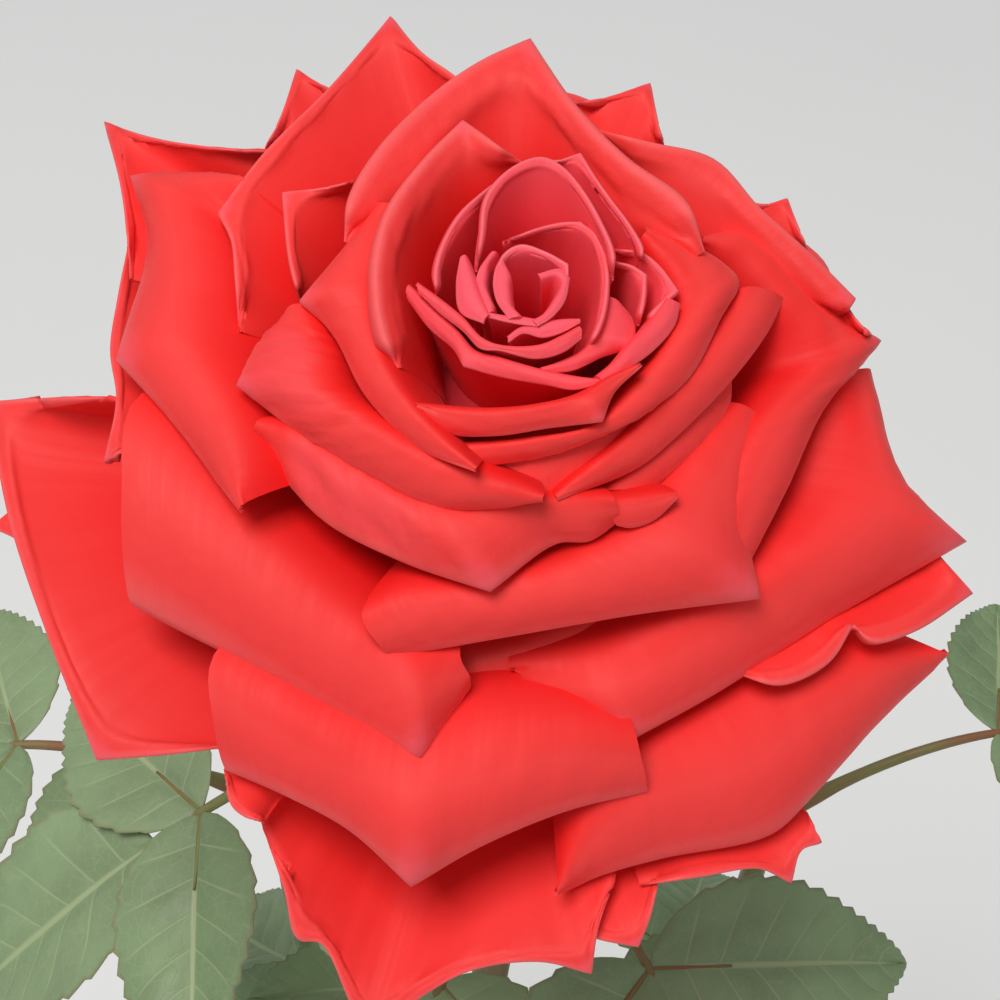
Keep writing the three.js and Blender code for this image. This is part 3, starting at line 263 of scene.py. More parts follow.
    "outer_right_lobe": dict(lift=-6.5, roll=0.8, reach=0.5, depth=7,
        rim=[[31.5, -1], [33.3, -3.7], [34.6, -5]]),
    "outer_back_left": dict(lift=-5.0, roll=1.5, reach=0.5, depth=4, corners=[2],
        rim=[[-39.4, 0.5], [-40.3, 9.5], [-42, 16.2], [-37.5, 14.7], [-32, 13.8], [-24, 13.2]]),
    "outer_left": dict(lift=[-8.5, -9.5], roll=1.4, reach=0.5, depth=7, corners=[4],
        rim=[[-39.3, 5.5], [-40.7, -1.5], [-41.4, -6.5], [-40.8, -11.5], [-42, -17.6], [-40, -16.5],
            [-37, -14]]),
    "outer_front_left": dict(lift=[-10.5, -16.5], roll=1.6, reach=0.5, depth=6, corners=[2, 5],
        rim=[[-40.7, -11.3], [-47.5, -11.4], [-53.7, -11.7], [-51.5, -23.5], [-47.5, -35.5],
            [-42.8, -47.4], [-36.5, -46.9], [-28.3, -46]]),
    "outer_far_left": dict(lift=-17.5, roll=0.8, reach=0.5, depth=5, corners=[2],
        rim=[[-49.5, -16.5], [-50.5, -21.5], [-53.3, -24.2], [-50.7, -25.5], [-45.5, -31.5]]),
    "outer_low_left": dict(lift=-18.0, roll=0.8, reach=0.5, depth=5,
        rim=[[-30, -48.5], [-29.4, -51.8], [-28, -53.1], [-26.1, -53.7]]),
    "seventh_front": dict(lift=[-13.6, -17.6], drop=4.0, reach=0.52, depth=6, under=2, corners=[3],
        crest=[[-31.1, -37], [-25.5, -40.5], [-18.5, -44.5], [-10.5, -46], [-2.5, -44.5], [4.5, -44],
            [10.9, -45]],
        rim=[[-29.7, -48.5], [-23.5, -51.2], [-17.5, -54.5], [-11.4, -60.1], [-4.5, -56.1], [4.5, -52.4],
            [12.2, -50.6]]),
    "seventh_right": dict(lift=[-23.5, -18.5], drop=4.0, reach=0.5, depth=6, under=2,
        crest=[[3.3, -60.2], [6, -53.5], [11.5, -48], [19.5, -44.5], [26.5, -40.5], [33.5, -37.1],
            [41.3, -36.5]],
        rim=[[3.1, -60.9], [7.5, -59], [13.5, -57.3], [24.5, -54.9], [28.3, -51.5], [35.5, -43.5],
            [42.3, -36.8]]),
    "outer_front_right": dict(lift=[-18.0, -15.0], roll=1.6, reach=0.5, depth=6, corners=[3, 6],
        rim=[[20.6, -38.6], [25.5, -39.9], [30.3, -37.7], [32.8, -33.9], [34.7, -35.6], [39, -34.5],
            [44.7, -30.8], [41.3, -27]]),
    "outer_low_right": dict(lift=-25.0, roll=1.2, reach=0.5, depth=5, corners=[3, 5],
        rim=[[11.5, -60], [17.5, -59.1], [23.5, -58.3], [26.6, -59.7], [27.6, -56.5], [29.6, -55.7],
            [28.1, -52.7]]),
    "outer_low_lobe": dict(lift=-26.0, roll=1.2, reach=0.5, depth=5, corners=[2],
        rim=[[4.5, -64.5], [8, -65.5], [11.3, -66.1], [12.5, -63], [13.3, -59.5]]),
    "outer_low_front": dict(lift=[-22.0, -25.0], roll=1.8, reach=0.5, depth=3, corners=[5, 9],
        rim=[[-26.3, -53.7], [-24, -60.5], [-22.7, -65.3], [-20.3, -65.8], [-17.5, -71.5], [-15.7, -75],
            [-11, -71.5], [-5.5, -68.5], [1.5, -67.6], [6.6, -68.8], [7.2, -64.5], [9, -59]]),
}

# The petals that the picture hides behind the bloom, their rims as [x, y] on the bloom's plan
GUARDS = {
    "guard_back": dict(lift=-21, roll=3, reach=0.5, depth=6,
        rim=[[-19, 36], [-12, 44], [2, 50], [15, 43], [22, 33]]),
    "guard_back_right": dict(lift=-25, roll=3, reach=0.5, depth=5,
        rim=[[18, 34], [28, 33], [38, 27], [38, 17], [37, 6]]),
    "guard_back_left": dict(lift=-23, roll=3, reach=0.5, depth=5,
        rim=[[-47, 8], [-46, 20], [-42, 31], [-30, 36], [-19, 35]]),
}


# Vectors and curves

def unit(vectors):
    """Each vector divided by its length."""
    return vectors / np.maximum(np.linalg.norm(vectors, axis=-1, keepdims=True), 1e-9)


def spline(points, t):
    """The centripetal Catmull-Rom curve through points 0 to n-1, at parameters t from 0 to n-1.

    Between p1 and p2 it is the cubic Hermite curve with end tangents
    ((p1 - p0) / d0 - (p2 - p0) / (d0 + d1) + (p2 - p1) / d1) * d1 and the like for p2, where each d is the
    square root of the distance between neighbours. The ends are carried on by reflection. The points may be
    whole rows of points, which then give whole rows of curves.
    """
    points = np.asarray(points, float)
    chain = np.concatenate([[2 * points[0] - points[1]], points, [2 * points[-1] - points[-2]]])
    start = np.clip(np.floor(t).astype(int), 0, len(points) - 2)
    f = (t - start).reshape(-1, *[1] * (points.ndim - 1))
    p0, p1, p2, p3 = (chain[start + k] for k in range(4))
    d0, d1, d2 = (np.maximum(np.linalg.norm(b - a, axis=-1, keepdims=True) ** 0.5, 0.01)
                  for a, b in ((p0, p1), (p1, p2), (p2, p3)))
    leave = ((p1 - p0) / d0 - (p2 - p0) / (d0 + d1) + (p2 - p1) / d1) * d1
    arrive = ((p2 - p1) / d1 - (p3 - p1) / (d1 + d2) + (p3 - p2) / d2) * d1
    return ((2 * f**3 - 3 * f**2 + 1) * p1 + (f**3 - 2 * f**2 + f) * leave
            + (3 * f**2 - 2 * f**3) * p2 + (f**3 - f**2) * arrive)


def edge_line(points, corners, steps):
    """Points along a petal's edge, smooth from corner to corner, with so many steps between given points."""
    stops = sorted({0, *corners, len(points) - 1})
    parts = []
    for first, last in zip(stops[:-1], stops[1:]):
        t = np.linspace(0, last - first, (last - first) * steps + 1)
        parts.append(spline(points[first:last + 1], t)[1 if parts else 0:])
    return np.concatenate(parts)


def softened(line, spread):
    """A line of points (n, k) averaged along itself with Gaussian weights.

    Odd reflection carries it on, so its ends stay where they are.
    """
    reach = min(int(3 * spread), len(line) - 1)
    weights = np.exp(-(np.arange(-reach, reach + 1) / spread) ** 2 / 2)
    longer = np.pad(line, ((reach, reach), (0, 0)), mode="reflect", reflect_type="odd")
    return np.stack([np.convolve(column, weights / weights.sum(), "valid") for column in longer.T], -1)


def ripple(u, v, waves, seed):
    """A smooth random field from -1 to 1: the mean of sines of 2 pi (a * u + b * v + c), all random."""
    draw = np.random.default_rng(seed)
    total = 0
    for _ in range(waves):
        a, b = draw.normal(0, 1, 2)
        total = total + np.sin(2 * np.pi * (a * u + b * v + draw.random()))
    return total / waves


def smooth(low, high, value):
    """0 below low, 1 above high, and 3x^2 - 2x^3 of the share x in between."""
    x = np.clip((value - low) / (high - low), 0, 1)
    return x * x * (3 - 2 * x)


# Closed shapes as plain arrays: points, quads, tris, uv, tags (per point) and hem (numbered borders)

def shape(points, quads=(), tris=(), uv=None, tags=None, hem=None):
    """A shape with every array in place. tags holds three numbers a point, which the materials read."""
    points = np.asarray(points, float).reshape(-1, 3)
    count = len(points)
    return dict(
        points=points,
        quads=np.asarray(quads, int).reshape(-1, 4),
        tris=np.asarray(tris, int).reshape(-1, 3),
        uv=np.zeros((count, 2)) if uv is None else np.asarray(uv, float).reshape(-1, 2),
        tags=np.zeros((count, 3)) if tags is None else np.broadcast_to(tags, (count, 3)).astype(float),
        hem=np.zeros(count, int) if hem is None else hem,
    )


def together(shapes):
    """Several shapes as one: their arrays end to end, the faces renumbered and the borders kept apart."""
    counts = [len(s["points"]) for s in shapes]
    firsts = np.cumsum([0, *counts[:-1]])
    hems = np.cumsum([0, *[s["hem"].max() for s in shapes[:-1]]])
    return dict(
        points=np.concatenate([s["points"] for s in shapes]),
        quads=np.concatenate([s["quads"] + first for s, first in zip(shapes, firsts)]),
        tris=np.concatenate([s["tris"] + first for s, first in zip(shapes, firsts)]),
        uv=np.concatenate([s["uv"] for s in shapes]),
        tags=np.concatenate([s["tags"] for s in shapes]),
        hem=np.concatenate([np.where(s["hem"] > 0, s["hem"] + hem, 0) for s, hem in zip(shapes, hems)]),
    )


def grid_quads(rows, columns, first=0):
    """The quads of a grid of point numbers, row by row, facing along columns x rows."""
    number = first + np.arange(rows * columns).reshape(rows, columns)
    return np.stack([number[:-1, :-1], number[:-1, 1:], number[1:, 1:], number[1:, :-1]], -1).reshape(-1, 4)


def ring_faces(rings, sides):
    """Quads between rings of points, and a fan at each end to one of the two poles numbered after them."""
    number = np.arange(rings * sides).reshape(rings, sides)
    beside = np.roll(number, -1, axis=1)
    pole = np.full(sides, number.size)
    quads = np.stack([number[:-1], beside[:-1], beside[1:], number[1:]], -1).reshape(-1, 4)
    fans = [np.stack([pole, beside[0], number[0]], -1), np.stack([pole + 1, number[-1], beside[-1]], -1)]
    return quads, np.concatenate(fans)


def grid_normals(grid):
    """Unit normals of a grid: the cross product of its differences along the columns and along the rows."""
    return unit(np.cross(np.gradient(grid, axis=1), np.gradient(grid, axis=0)))


def thin_sheet(grid, thickness, uv, tags):
    """A closed thin solid over a grid (rows, columns, 3).

    Its faces are grid + n * h and grid - n * h, with n the grid's unit normal and h half the thickness, which
    may be an array (rows, columns). A wall of quads joins them round the border. The third tag becomes 1 on
    the first face and 0 on the second.
    """
    rows, columns = grid.shape[:2]
    count = rows * columns
    half = grid_normals(grid) * np.broadcast_to(thickness, (rows, columns))[..., None] / 2
    number = np.arange(count).reshape(rows, columns)
    border = np.concatenate([number[0, :-1], number[:-1, -1], number[-1, :0:-1], number[:0:-1, 0]])
    after = np.roll(border, -1)
    wall = np.stack([after, border, border + count, after + count], -1)
    hem = np.zeros(2 * count, int)
    hem[border] = 1
    hem[border + count] = 2
    both = np.concatenate([np.broadcast_to(tags, (count, 3))] * 2).astype(float)
    both[:count, 2] = 1
    both[count:, 2] = 0
    return shape(
        np.concatenate([(grid + half).reshape(-1, 3), (grid - half).reshape(-1, 3)]),
        np.concatenate([grid_quads(rows, columns), grid_quads(rows, columns, count)[:, ::-1], wall]),
        uv=np.concatenate([uv.reshape(-1, 2)] * 2), tags=both, hem=hem)


def tube(path, radii, sides, steps, across=(0, 1, 0), tags=(0, 0, 0), lumps=0.0):
    """A closed tube along the spline through path: point = C(t) + r(t) * (cos a * N + sin a * B).

    N is the direction across, made square to the path's tangent T, and B = T x N. r runs from the first of
    radii to the last on a spline, times 1 + lumps * ripple. Both ends close in a fan.
    """
    t = np.linspace(0, len(path) - 1, steps + 1)
    centre = spline(path, t)
    tangent = unit(np.gradient(centre, axis=0))
    n = unit(np.asarray(across, float) - tangent * (tangent @ np.asarray(across, float))[:, None])
    b = np.cross(tangent, n)
    share = np.linspace(0, len(radii) - 1, steps + 1)
    radius = spline(np.c_[radii, np.zeros(len(radii))], share)[:, :1]
    turn = 2 * np.pi * np.arange(sides) / sides
    far = np.linspace(0, 1, steps + 1)[:, None]
    radius = radius * (1 + lumps * ripple(7 * far, np.cos(turn), 6, 3))
    rings = centre[:, None] + radius[..., None] * (np.cos(turn)[:, None] * n[:, None]
                                                   + np.sin(turn)[:, None] * b[:, None])
    around = np.broadcast_to(turn / (2 * np.pi), (steps + 1, sides))
    uv = np.stack([around, np.broadcast_to(far, around.shape)], -1).reshape(-1, 2)
    points = np.concatenate([rings.reshape(-1, 3), centre[:1], centre[-1:]])
    return shape(points, *ring_faces(steps + 1, sides),
                 uv=np.concatenate([uv, [[0, 0], [0, 1]]]), tags=tags)


def revolved(profile, sides, push=None, tags=(0, 0, 0)):
    """A closed solid round +Z from [radius, height] points that start and end on the axis, going up outside.

    Point = (r cos a, r sin a, z). push(points) may move the rings before the poles close them.
    """
    profile = np.asarray(profile, float)
    turn = 2 * np.pi * np.arange(sides) / sides
    ring = profile[1:-1]
    points = np.stack([ring[:, :1] * np.cos(turn), ring[:, :1] * np.sin(turn),
                       np.broadcast_to(ring[:, 1:], (len(ring), sides))], -1)
    poles = np.array([[0, 0, profile[0, 1]], [0, 0, profile[-1, 1]]], float)
    if push:
        points, poles = push(points), push(poles)
    uv = np.stack(np.broadcast_arrays(turn / (2 * np.pi), ring[:, 1:] / 100), -1).reshape(-1, 2)
    return shape(np.concatenate([points.reshape(-1, 3), poles]), *ring_faces(len(ring), sides),
                 uv=np.concatenate([uv, [[0, 0], [0, 0]]]), tags=tags)


def put(name, data):
    """A new object in the scene."""
    item = bpy.data.objects.new(name, data)
    bpy.context.scene.collection.objects.link(item)
    return item


def piece(name, made, material, slot, *nodes):
    """A mesh object of a shape, riding on the frame and standing for the named solids.

    All faces are smooth, and only the borders of thin sheets keep a sharp edge.
    """
    mesh = bpy.data.meshes.new(name)
    corners = np.concatenate([made["quads"].ravel(), made["tris"].ravel()])
    sizes = np.concatenate([np.full(len(made["quads"]), 4), np.full(len(made["tris"]), 3)])
    mesh.vertices.add(len(made["points"]))
    mesh.vertices.foreach_set("co", (made["points"] / METRE).astype(np.float32).ravel())
    mesh.loops.add(len(corners))
    mesh.loops.foreach_set("vertex_index", corners.astype(np.int32))
    mesh.polygons.add(len(sizes))
    mesh.polygons.foreach_set("loop_start", np.concatenate([[0], np.cumsum(sizes)[:-1]]).astype(np.int32))
    mesh.polygons.foreach_set("use_smooth", np.ones(len(sizes), bool))
    layer = mesh.uv_layers.new(name="UVMap")
    layer.data.foreach_set("uv", made["uv"][corners].astype(np.float32).ravel())
    tags = mesh.attributes.new("tags", "FLOAT_VECTOR", "POINT")
    tags.data.foreach_set("vector", made["tags"].astype(np.float32).ravel())
    mesh.update(calc_edges=True)
    ends = np.empty(2 * len(mesh.edges), np.int32)
    mesh.edges.foreach_get("vertices", ends)
    hem = made["hem"][ends.reshape(-1, 2)]
    sharp = mesh.attributes.new("sharp_edge", "BOOLEAN", "EDGE")
    sharp.data.foreach_set("value", (hem[:, 0] > 0) & (hem[:, 0] == hem[:, 1]))
    mesh.validate()
    mesh.materials.append(material)
    item = put(name, mesh)
    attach(item, "root")
    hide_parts(*nodes)
    return item


# The bloom

def in_world(points):
    """Points of the bloom's frame in the plant's: turned about X by the bloom's lean, lifted to the heart."""
    turn = np.array([[1, 0, 0],
                     [0, np.cos(BLOOM_LEAN), -np.sin(BLOOM_LEAN)],
                     [0, np.sin(BLOOM_LEAN), np.cos(BLOOM_LEAN)]])
    return points @ turn.T + [0, 0, HEART_HEIGHT]


def on_dome(picture, lift):
    """Where the line of sight through each [right, up] of the picture plane meets the bloom's dome.

    The dome is z = lift - x^2 / DOME_FRONT - y^2 / b, where b is DOME_FRONT on the eye's side and DOME_BACK
    behind the axis. The line E + k * d meets it at the smaller root of a k^2 + b k + c = 0.
    """
    sight = picture[:, :1] * [1.0, 0, 0] + picture[:, 1:] * PICTURE_UP - EYE

    def meeting(back):
        a = sight[:, 0] ** 2 / DOME_FRONT + sight[:, 1] ** 2 / back
        b = sight[:, 2] + 2 * (EYE[0] * sight[:, 0] / DOME_FRONT + EYE[1] * sight[:, 1] / back)
        c = EYE[2] - lift + EYE[0] ** 2 / DOME_FRONT + EYE[1] ** 2 / back
        root = b * b - 4 * a * c
        return root, EYE + ((-b - np.sqrt(np.maximum(root, 0))) / (2 * a))[:, None] * sight

    root, front = meeting(DOME_FRONT)
    behind = (root <= 0) | (front[:, 1] > 0)
    return np.where(behind[:, None], meeting(DOME_BACK)[1], front)


def from_above(plan, lift):
    """Each [x, y] of the bloom's plan, on the same dome."""
    x, y = plan.T
    return np.stack([x, y, lift - x**2 / DOME_FRONT - y**2 / np.where(y > 0, DOME_BACK, DOME_FRONT)], -1)


def petal_grid(petal, place):
    """A petal's surface, rows from its foot to the turned-in rim and columns along its edge.

    Each column is the spline through seven points: foot, neck, shoulder, crest, belly, rim and the rim's
    turned-in end. With r and z the distance and height of the edge, softened along it, the shoulder lies at
    reach * (r + mean r) / 2 from the axis and at (z + mean z) / 2 - depth. The crest is the petal's own crest
    line, and the rim hangs from it by drop, less TIP_RISE of it at a pointed corner. A petal without a crest
    line has it at the softened rim + roll * (towards the shoulder + ROLL_RISE up), and its ends are tucked
    under. The belly stands out from the middle between crest and rim by BELLY of their distance.
    """
    corners = petal.get("corners", [])
    far = np.linspace(0, 1, (len(petal["rim"]) - 1) * RIM_STEPS + 1)
    lift = np.interp(far, [0, 1], np.broadcast_to(petal["lift"], 2))
    rim_line = edge_line(petal["rim"], corners, RIM_STEPS)
    tips = np.exp(-((far[:, None] * (len(petal["rim"]) - 1) - np.array([corners])) / TIP_SPREAD) ** 2)
    tips = np.minimum(tips.sum(axis=1), 1)
    if "crest" in petal:
        crest_line = edge_line(petal["crest"], [], RIM_STEPS)
        fold = smooth(0, FULL_FOLD, np.linalg.norm(rim_line - crest_line, axis=-1))
        drop = petal["drop"] * fold * (1 - TIP_RISE * tips)
        rim = place(rim_line, lift - drop)
        edge = place(crest_line, lift)
    else:
        fold = smooth(0, ROLL_OPENS, far) * smooth(0, ROLL_OPENS, 1 - far)
        tucked = 1 - smooth(0, TUCKED_SHARE, far) * smooth(0, TUCKED_SHARE, 1 - far)
        rim = place(rim_line, lift - END_TUCK * tucked)
        edge = softened(rim, CREST_EVENED)
    soft = softened(edge, SHOULDER_EVENED)
    radius = np.hypot(soft[:, 0], soft[:, 1])
    turn = np.unwrap(np.arctan2(soft[:, 1], soft[:, 0]))

    def ring(at_radius, height):
        return np.stack([at_radius * np.cos(turn), at_radius * np.sin(turn),
                         np.broadcast_to(height, turn.shape)], -1)

    shoulder_radius = petal["reach"] * (radius + radius.mean()) / 2
    shoulder_height = (soft[:, 2] + soft[:, 2].mean()) / 2 - petal["depth"]
    foot_radius = FOOT_RADIUS + FOOT_SPREAD * radius
    foot = ring(foot_radius, -BLOOM_DEPTH)
    neck_radius = (1 - NECK_OUT) * foot_radius + NECK_OUT * shoulder_radius
    neck = ring(neck_radius, (shoulder_height - BLOOM_DEPTH) / 2)
    shoulder = ring(shoulder_radius, shoulder_height)
    smoothed = softened(rim, RIM_EVENED)
    along = unit(np.gradient(smoothed, axis=0))
    fold = fold[:, None]
    if "crest" in petal:
        crest = edge
        outwards = unit(rim - crest + 0.05 * unit(rim - shoulder))
        turned_back, turned_down = (share * petal["under"] * fold for share in FOLD_TURNS)
    else:
        outwards = unit(smoothed - shoulder)
        roll = petal["roll"] * (LEAST_ROLL + (1 - LEAST_ROLL) * fold)
        crest = edge - roll * outwards + ROLL_RISE * roll * UP
        turned_back, turned_down = (share * roll for share in ROLL_TURNS)
    outwards = unit(outwards - along * np.sum(outwards * along, -1, keepdims=True))
    above = np.cross(along, outwards)
    above *= np.where(above[:, 2:] < 0, -1, 1)
    width = np.linalg.norm(rim - crest, axis=-1, keepdims=True)
    belly = (crest + rim) / 2 + BELLY * width * above
    turned_in = rim - turned_back * outwards - turned_down * above
    spans = len(PETAL_ROWS)
    rows = np.concatenate([np.arange(count) / count + k for k, count in enumerate(PETAL_ROWS)] + [[spans]])
    return spline(np.stack([foot, neck, shoulder, crest, belly, rim, turned_in]), rows), rows / spans, tips


def petal_shape(petal, place, ring, seed):
    """A petal as a thin closed sheet with soft waves across it and fine puckers along its rolled margin.

    A few petals are crinkled besides, from the start of their edge to past its middle. u runs along the edge,
    and v is 0 at the foot, 1/3 at the shoulder, 1/2 at the crest and 5/6 at the rim; for the colour, v is
    moved nearer the rim on the broad face of a petal without a crest, a painted light. The tags are the
    ring's place from heart to outside, a random tone, and how pale the petal is: a painted highlight at the
    tips, and paler crinkles.
    """
    grid, share, tips = petal_grid(petal, place)
    rows, columns = grid.shape[:2]
    arc = np.concatenate([[0], np.cumsum(np.linalg.norm(np.diff(grid[MEASURED_ROW], axis=0), axis=-1))])
    u = np.broadcast_to(arc / arc[-1], (rows, columns))
    v = np.broadcast_to(share[:, None], (rows, columns))
    length = arc[-1]
    normal = grid_normals(grid)
    far = np.linspace(0, 1, columns)
    crinkled = smooth(0.02, 0.15, far) * (1 - smooth(0.35, 0.7, far))
    if normal[len(normal) // 2, :, 2].mean() < 0:
        grid, normal, tips, crinkled = grid[:, ::-1], -normal[:, ::-1], tips[::-1], crinkled[::-1]
    middle = smooth(0.2, 0.4, v) * (1 - smooth(0.5, 0.7, v))
    margin = smooth(0.42, 0.58, v) * (1 - smooth(0.74, 0.84, v))
    waves = WAVES * length * middle * ripple(1.1 * u, 1.6 * v, 4, seed)
    puckers = PUCKERS * min(length, WIDEST_PUCKERED) * margin * ripple(0.22 * length * u, 5 * v, 5, seed + 1)
    crinkles = petal.get("crinkle", 0) * crinkled * margin * ripple(0.36 * length * u, 4 * v, 6, seed + 3)
    grid = grid + normal * (waves + puckers + crinkles)[..., None]
    thickness = PETAL_THICKNESS * (1.15 - 0.6 * smooth(0.3, 0.9, v))
    draw = np.random.default_rng(seed + 2)
    # Painted light: the broad face of a petal without a crest takes its colour from nearer the rim, so it is
    # lighter.
    face = 0 if "crest" in petal else FACE_PAINTED_LIGHT * smooth(0.2, 0.36, v) * (1 - smooth(0.5, 0.65, v))
    made = thin_sheet(grid, thickness, np.stack([u, v + face], -1), (ring, draw.random(), 0))
    # Painted highlight at the tips, and a paler crinkled margin, carried to the material in the third tag.
    pale = np.maximum(tips * smooth(0.5, 0.8, v), petal.get("crinkle", 0) * crinkled * margin)
    made["tags"][:, 2] = np.tile(pale.ravel(), 2)
    return made


def core_shape():
    """The middle of the bloom that the petals' feet grow from: a slim lathed body, hidden in the petals."""
    profile = [[0, -CORE_FLOOR], [5.5, -CORE_FLOOR], [9, -40], [13, -31], [14, -24], [10.5, -18], [6, -13.5],
               [0, -12]]
    return revolved(profile, 32, tags=(0.3, 0.5, 1))


RINGS = ["heart", "cup", "second", "third", "fourth", "fifth", "sixth", "seventh", "outer"]


def dress_bloom(material):
    """One piece for each ring of petals, from the heart outwards. The guard petals go with the outer ring."""
    for number, ring in enumerate(RINGS):
        members = [(petal, on_dome) for name, petal in PETALS.items() if name.startswith(ring + "_")]
        if ring == "outer":
            members += [(petal, from_above) for petal in GUARDS.values()]
        shapes = [petal_shape(petal, place, number / (len(RINGS) - 1), 40 * number + k)
                  for k, (petal, place) in enumerate(members)]
        if ring == "heart":
            shapes.append(core_shape())
        made = together(shapes)
        made["points"] = in_world(made["points"])
        piece("petals_" + ring, made, material, "petal_red", "bloom")


# Canes and leaves, in the plant's frame

def on_bloom_axis(distance):
    """The point of the bloom's axis so far below its heart."""
    return [0, distance * np.sin(BLOOM_LEAN), HEART_HEIGHT - distance * np.cos(BLOOM_LEAN)]


CANE_FOOT = SOIL_LEVEL - PLANTING_DEPTH
COLLAR = SOIL_LEVEL + 8
BEND = SOIL_LEVEL + 22
CANES = {
    "cane_flower": dict(radii=[4.6, 2.7], prickles=8, points=[
        [0, 4, CANE_FOOT], [0, 4, COLLAR], [0, 4, BEND], [-5, 8, 220], [-8, 15, 290], [-2, 23, 370],
        [2, 26, 420], on_bloom_axis(92), on_bloom_axis(CORE_FLOOR + HIP_LENGTH + 2 * GAP)]),
    "cane_left": dict(radii=[4.2, 2.2], prickles=5, points=[
        [-14, 9, CANE_FOOT], [-14, 9, COLLAR], [-14, 9, BEND], [-22, 14, 215], [-35, 22, 280], [-42, 31, 345],
        [-42, 34, 392]]),
    "cane_right": dict(radii=[4.2, 2.2], prickles=5, points=[
        [13, 13, CANE_FOOT], [13, 13, COLLAR], [13, 13, BEND], [22, 20, 215], [36, 34, 270], [48, 44, 320],
        [52, 48, 362]]),
}

# Each leaf: the cane, how far up it (0 to 1), the heading in degrees from +X, the rise in degrees, the length
# of its stalk and rachis, the length of its end leaflet and its pairs of side leaflets
LEAVES = {
    "leaf_flower_1": ("cane_flower", 0.86, 202, 8, 62, 48, 2),
    "leaf_flower_2": ("cane_flower", 0.79, 300, 12, 46, 54, 1),
    "leaf_flower_3": ("cane_flower", 0.73, 246, 4, 60, 48, 2),
    "leaf_flower_4": ("cane_flower", 0.68, 62, 14, 52, 46, 1),
    "leaf_flower_5": ("cane_flower", 0.6, 338, 12, 60, 48, 2),
    "leaf_flower_6": ("cane_flower", 0.46, 138, 12, 56, 48, 1),
    "leaf_flower_7": ("cane_flower", 0.3, 272, 14, 56, 46, 1),
    "leaf_left_1": ("cane_left", 0.97, 178, 28, 52, 44, 2),
    "leaf_left_2": ("cane_left", 0.72, 228, 10, 56, 46, 2),
    "leaf_left_3": ("cane_left", 0.5, 118, 14, 54, 42, 1),
    "leaf_right_1": ("cane_right", 0.97, 12, 28, 52, 44, 1),
    "leaf_right_2": ("cane_right", 0.64, 334, 10, 56, 46, 2),
    "leaf_right_3": ("cane_right", 0.52, 72, 14, 54, 42, 1),
}
STALK_RADIUS = 1.0
LEAF_THICKNESS = 0.45
TEETH = 15
SIDE_VEINS = 8

# A leaflet's width against its length, at the leaf's end and at its sides
END_WIDTH = 0.62
SIDE_WIDTH = 0.58


def along_path(points, share):
    """The place at a share of a spline's length."""
    fine = spline(points, np.linspace(0, len(points) - 1, 400))
    length = np.concatenate([[0], np.cumsum(np.linalg.norm(np.diff(fine, axis=0), axis=-1))])
    return np.array([np.interp(share * length[-1], length, fine[:, k]) for k in range(3)])


def prickle(root, outwards, length):
    """A hooked prickle: a tube whose radius falls from a broad foot to a point while it bends down."""
    path = [root - 0.5 * outwards, root + 0.45 * length * outwards,
            root + length * outwards - [0, 0, 0.22 * length]]
    return tube(path, [1.9, 0.75, 0.06], 8, 8, across=(0.3, 0.2, 1), tags=(1, 0, 0))


def cane_shape(points, radii, prickles):
    """A cane that swells and thins a little along its length, with a prickle at each golden turn.

    The prickles start at 0.26 of its length and spread over 0.62 of it.
    """
    share = np.linspace(0, 1, 9)
    swell = 1 + 0.05 * np.sin(7 * np.pi * share)
    stem = tube(points, list(np.interp(share, [0, 1], radii) * swell), 16, 70, lumps=0.03)
    shapes = [stem]
    for i in range(prickles):
        far = 0.26 + 0.62 * i / prickles
        turn = GOLDEN_TURN * i + 1.5
        outwards = unit(np.array([np.cos(turn), np.sin(turn), -0.25]))
        radius = np.interp(far, [0, 1], radii)
        shapes.append(prickle(along_path(points, far) + 0.8 * radius * outwards, outwards, 6.2))
    return together(shapes)


def leaflet(root, direction, up, length, width, seed):
    """A leaflet: point = root + direction * l t' + side * x + top * z over t from 0 to 1 and s from -1 to 1.

    The rows sweep forward with t' = t + 0.2 |s| sin(pi t). The half-width is w / 2 * sin(pi t'^0.78)^0.75 and
    the margin adds a tooth that grows along each of TEETH steps and drops back. The blade is folded along its
    midrib (z = 0.22 |x|), droops by 0.13 l t'^2, sinks at the midrib and side veins and bulges between them.
    """
    side = unit(np.cross(direction, up))
    top = unit(np.cross(side, direction))
    t, s = np.meshgrid(np.linspace(0, 1, 4 * TEETH + 1), np.linspace(-1, 1, 17), indexing="ij")
    swept = t + 0.2 * np.abs(s) * np.sin(np.pi * t)
    half = width / 2 * np.maximum(np.sin(np.pi * np.clip(swept, 0, 1) ** 0.78), 0.0015) ** 0.75
    tooth = (t * TEETH - 1e-9) % 1
    serrated = half + width * (0.05 * tooth - 0.012) * smooth(0.85, 1, np.abs(s)) * np.sin(np.pi * t) ** 0.5
    x = s * serrated
    vein = np.abs((t * SIDE_VEINS) % 1 - 0.5) * 2
    quilt = 0.016 * width * (1 - vein**3) * smooth(0, 0.25, np.abs(s)) * (1 - smooth(0.75, 1, np.abs(s)))
    groove = -0.012 * width * (1 - smooth(0, 0.14, np.abs(s)))
    curl = 0.02 * length * ripple(1.3 * t, 0.8 * s, 3, seed) + 0.02 * width * s * np.sin(9 * t + seed)
    z = 0.22 * np.abs(x) - 0.13 * length * swept**2 + (quilt + groove + curl * np.sin(np.pi * t))
    grid = root + length * swept[..., None] * direction + x[..., None] * side + z[..., None] * top
    draw = np.random.default_rng(seed)
    return thin_sheet(grid, LEAF_THICKNESS * (1 - 0.4 * np.abs(s)), np.stack([s / 2 + 0.5, t], -1),
                      (0, draw.random(), 0))


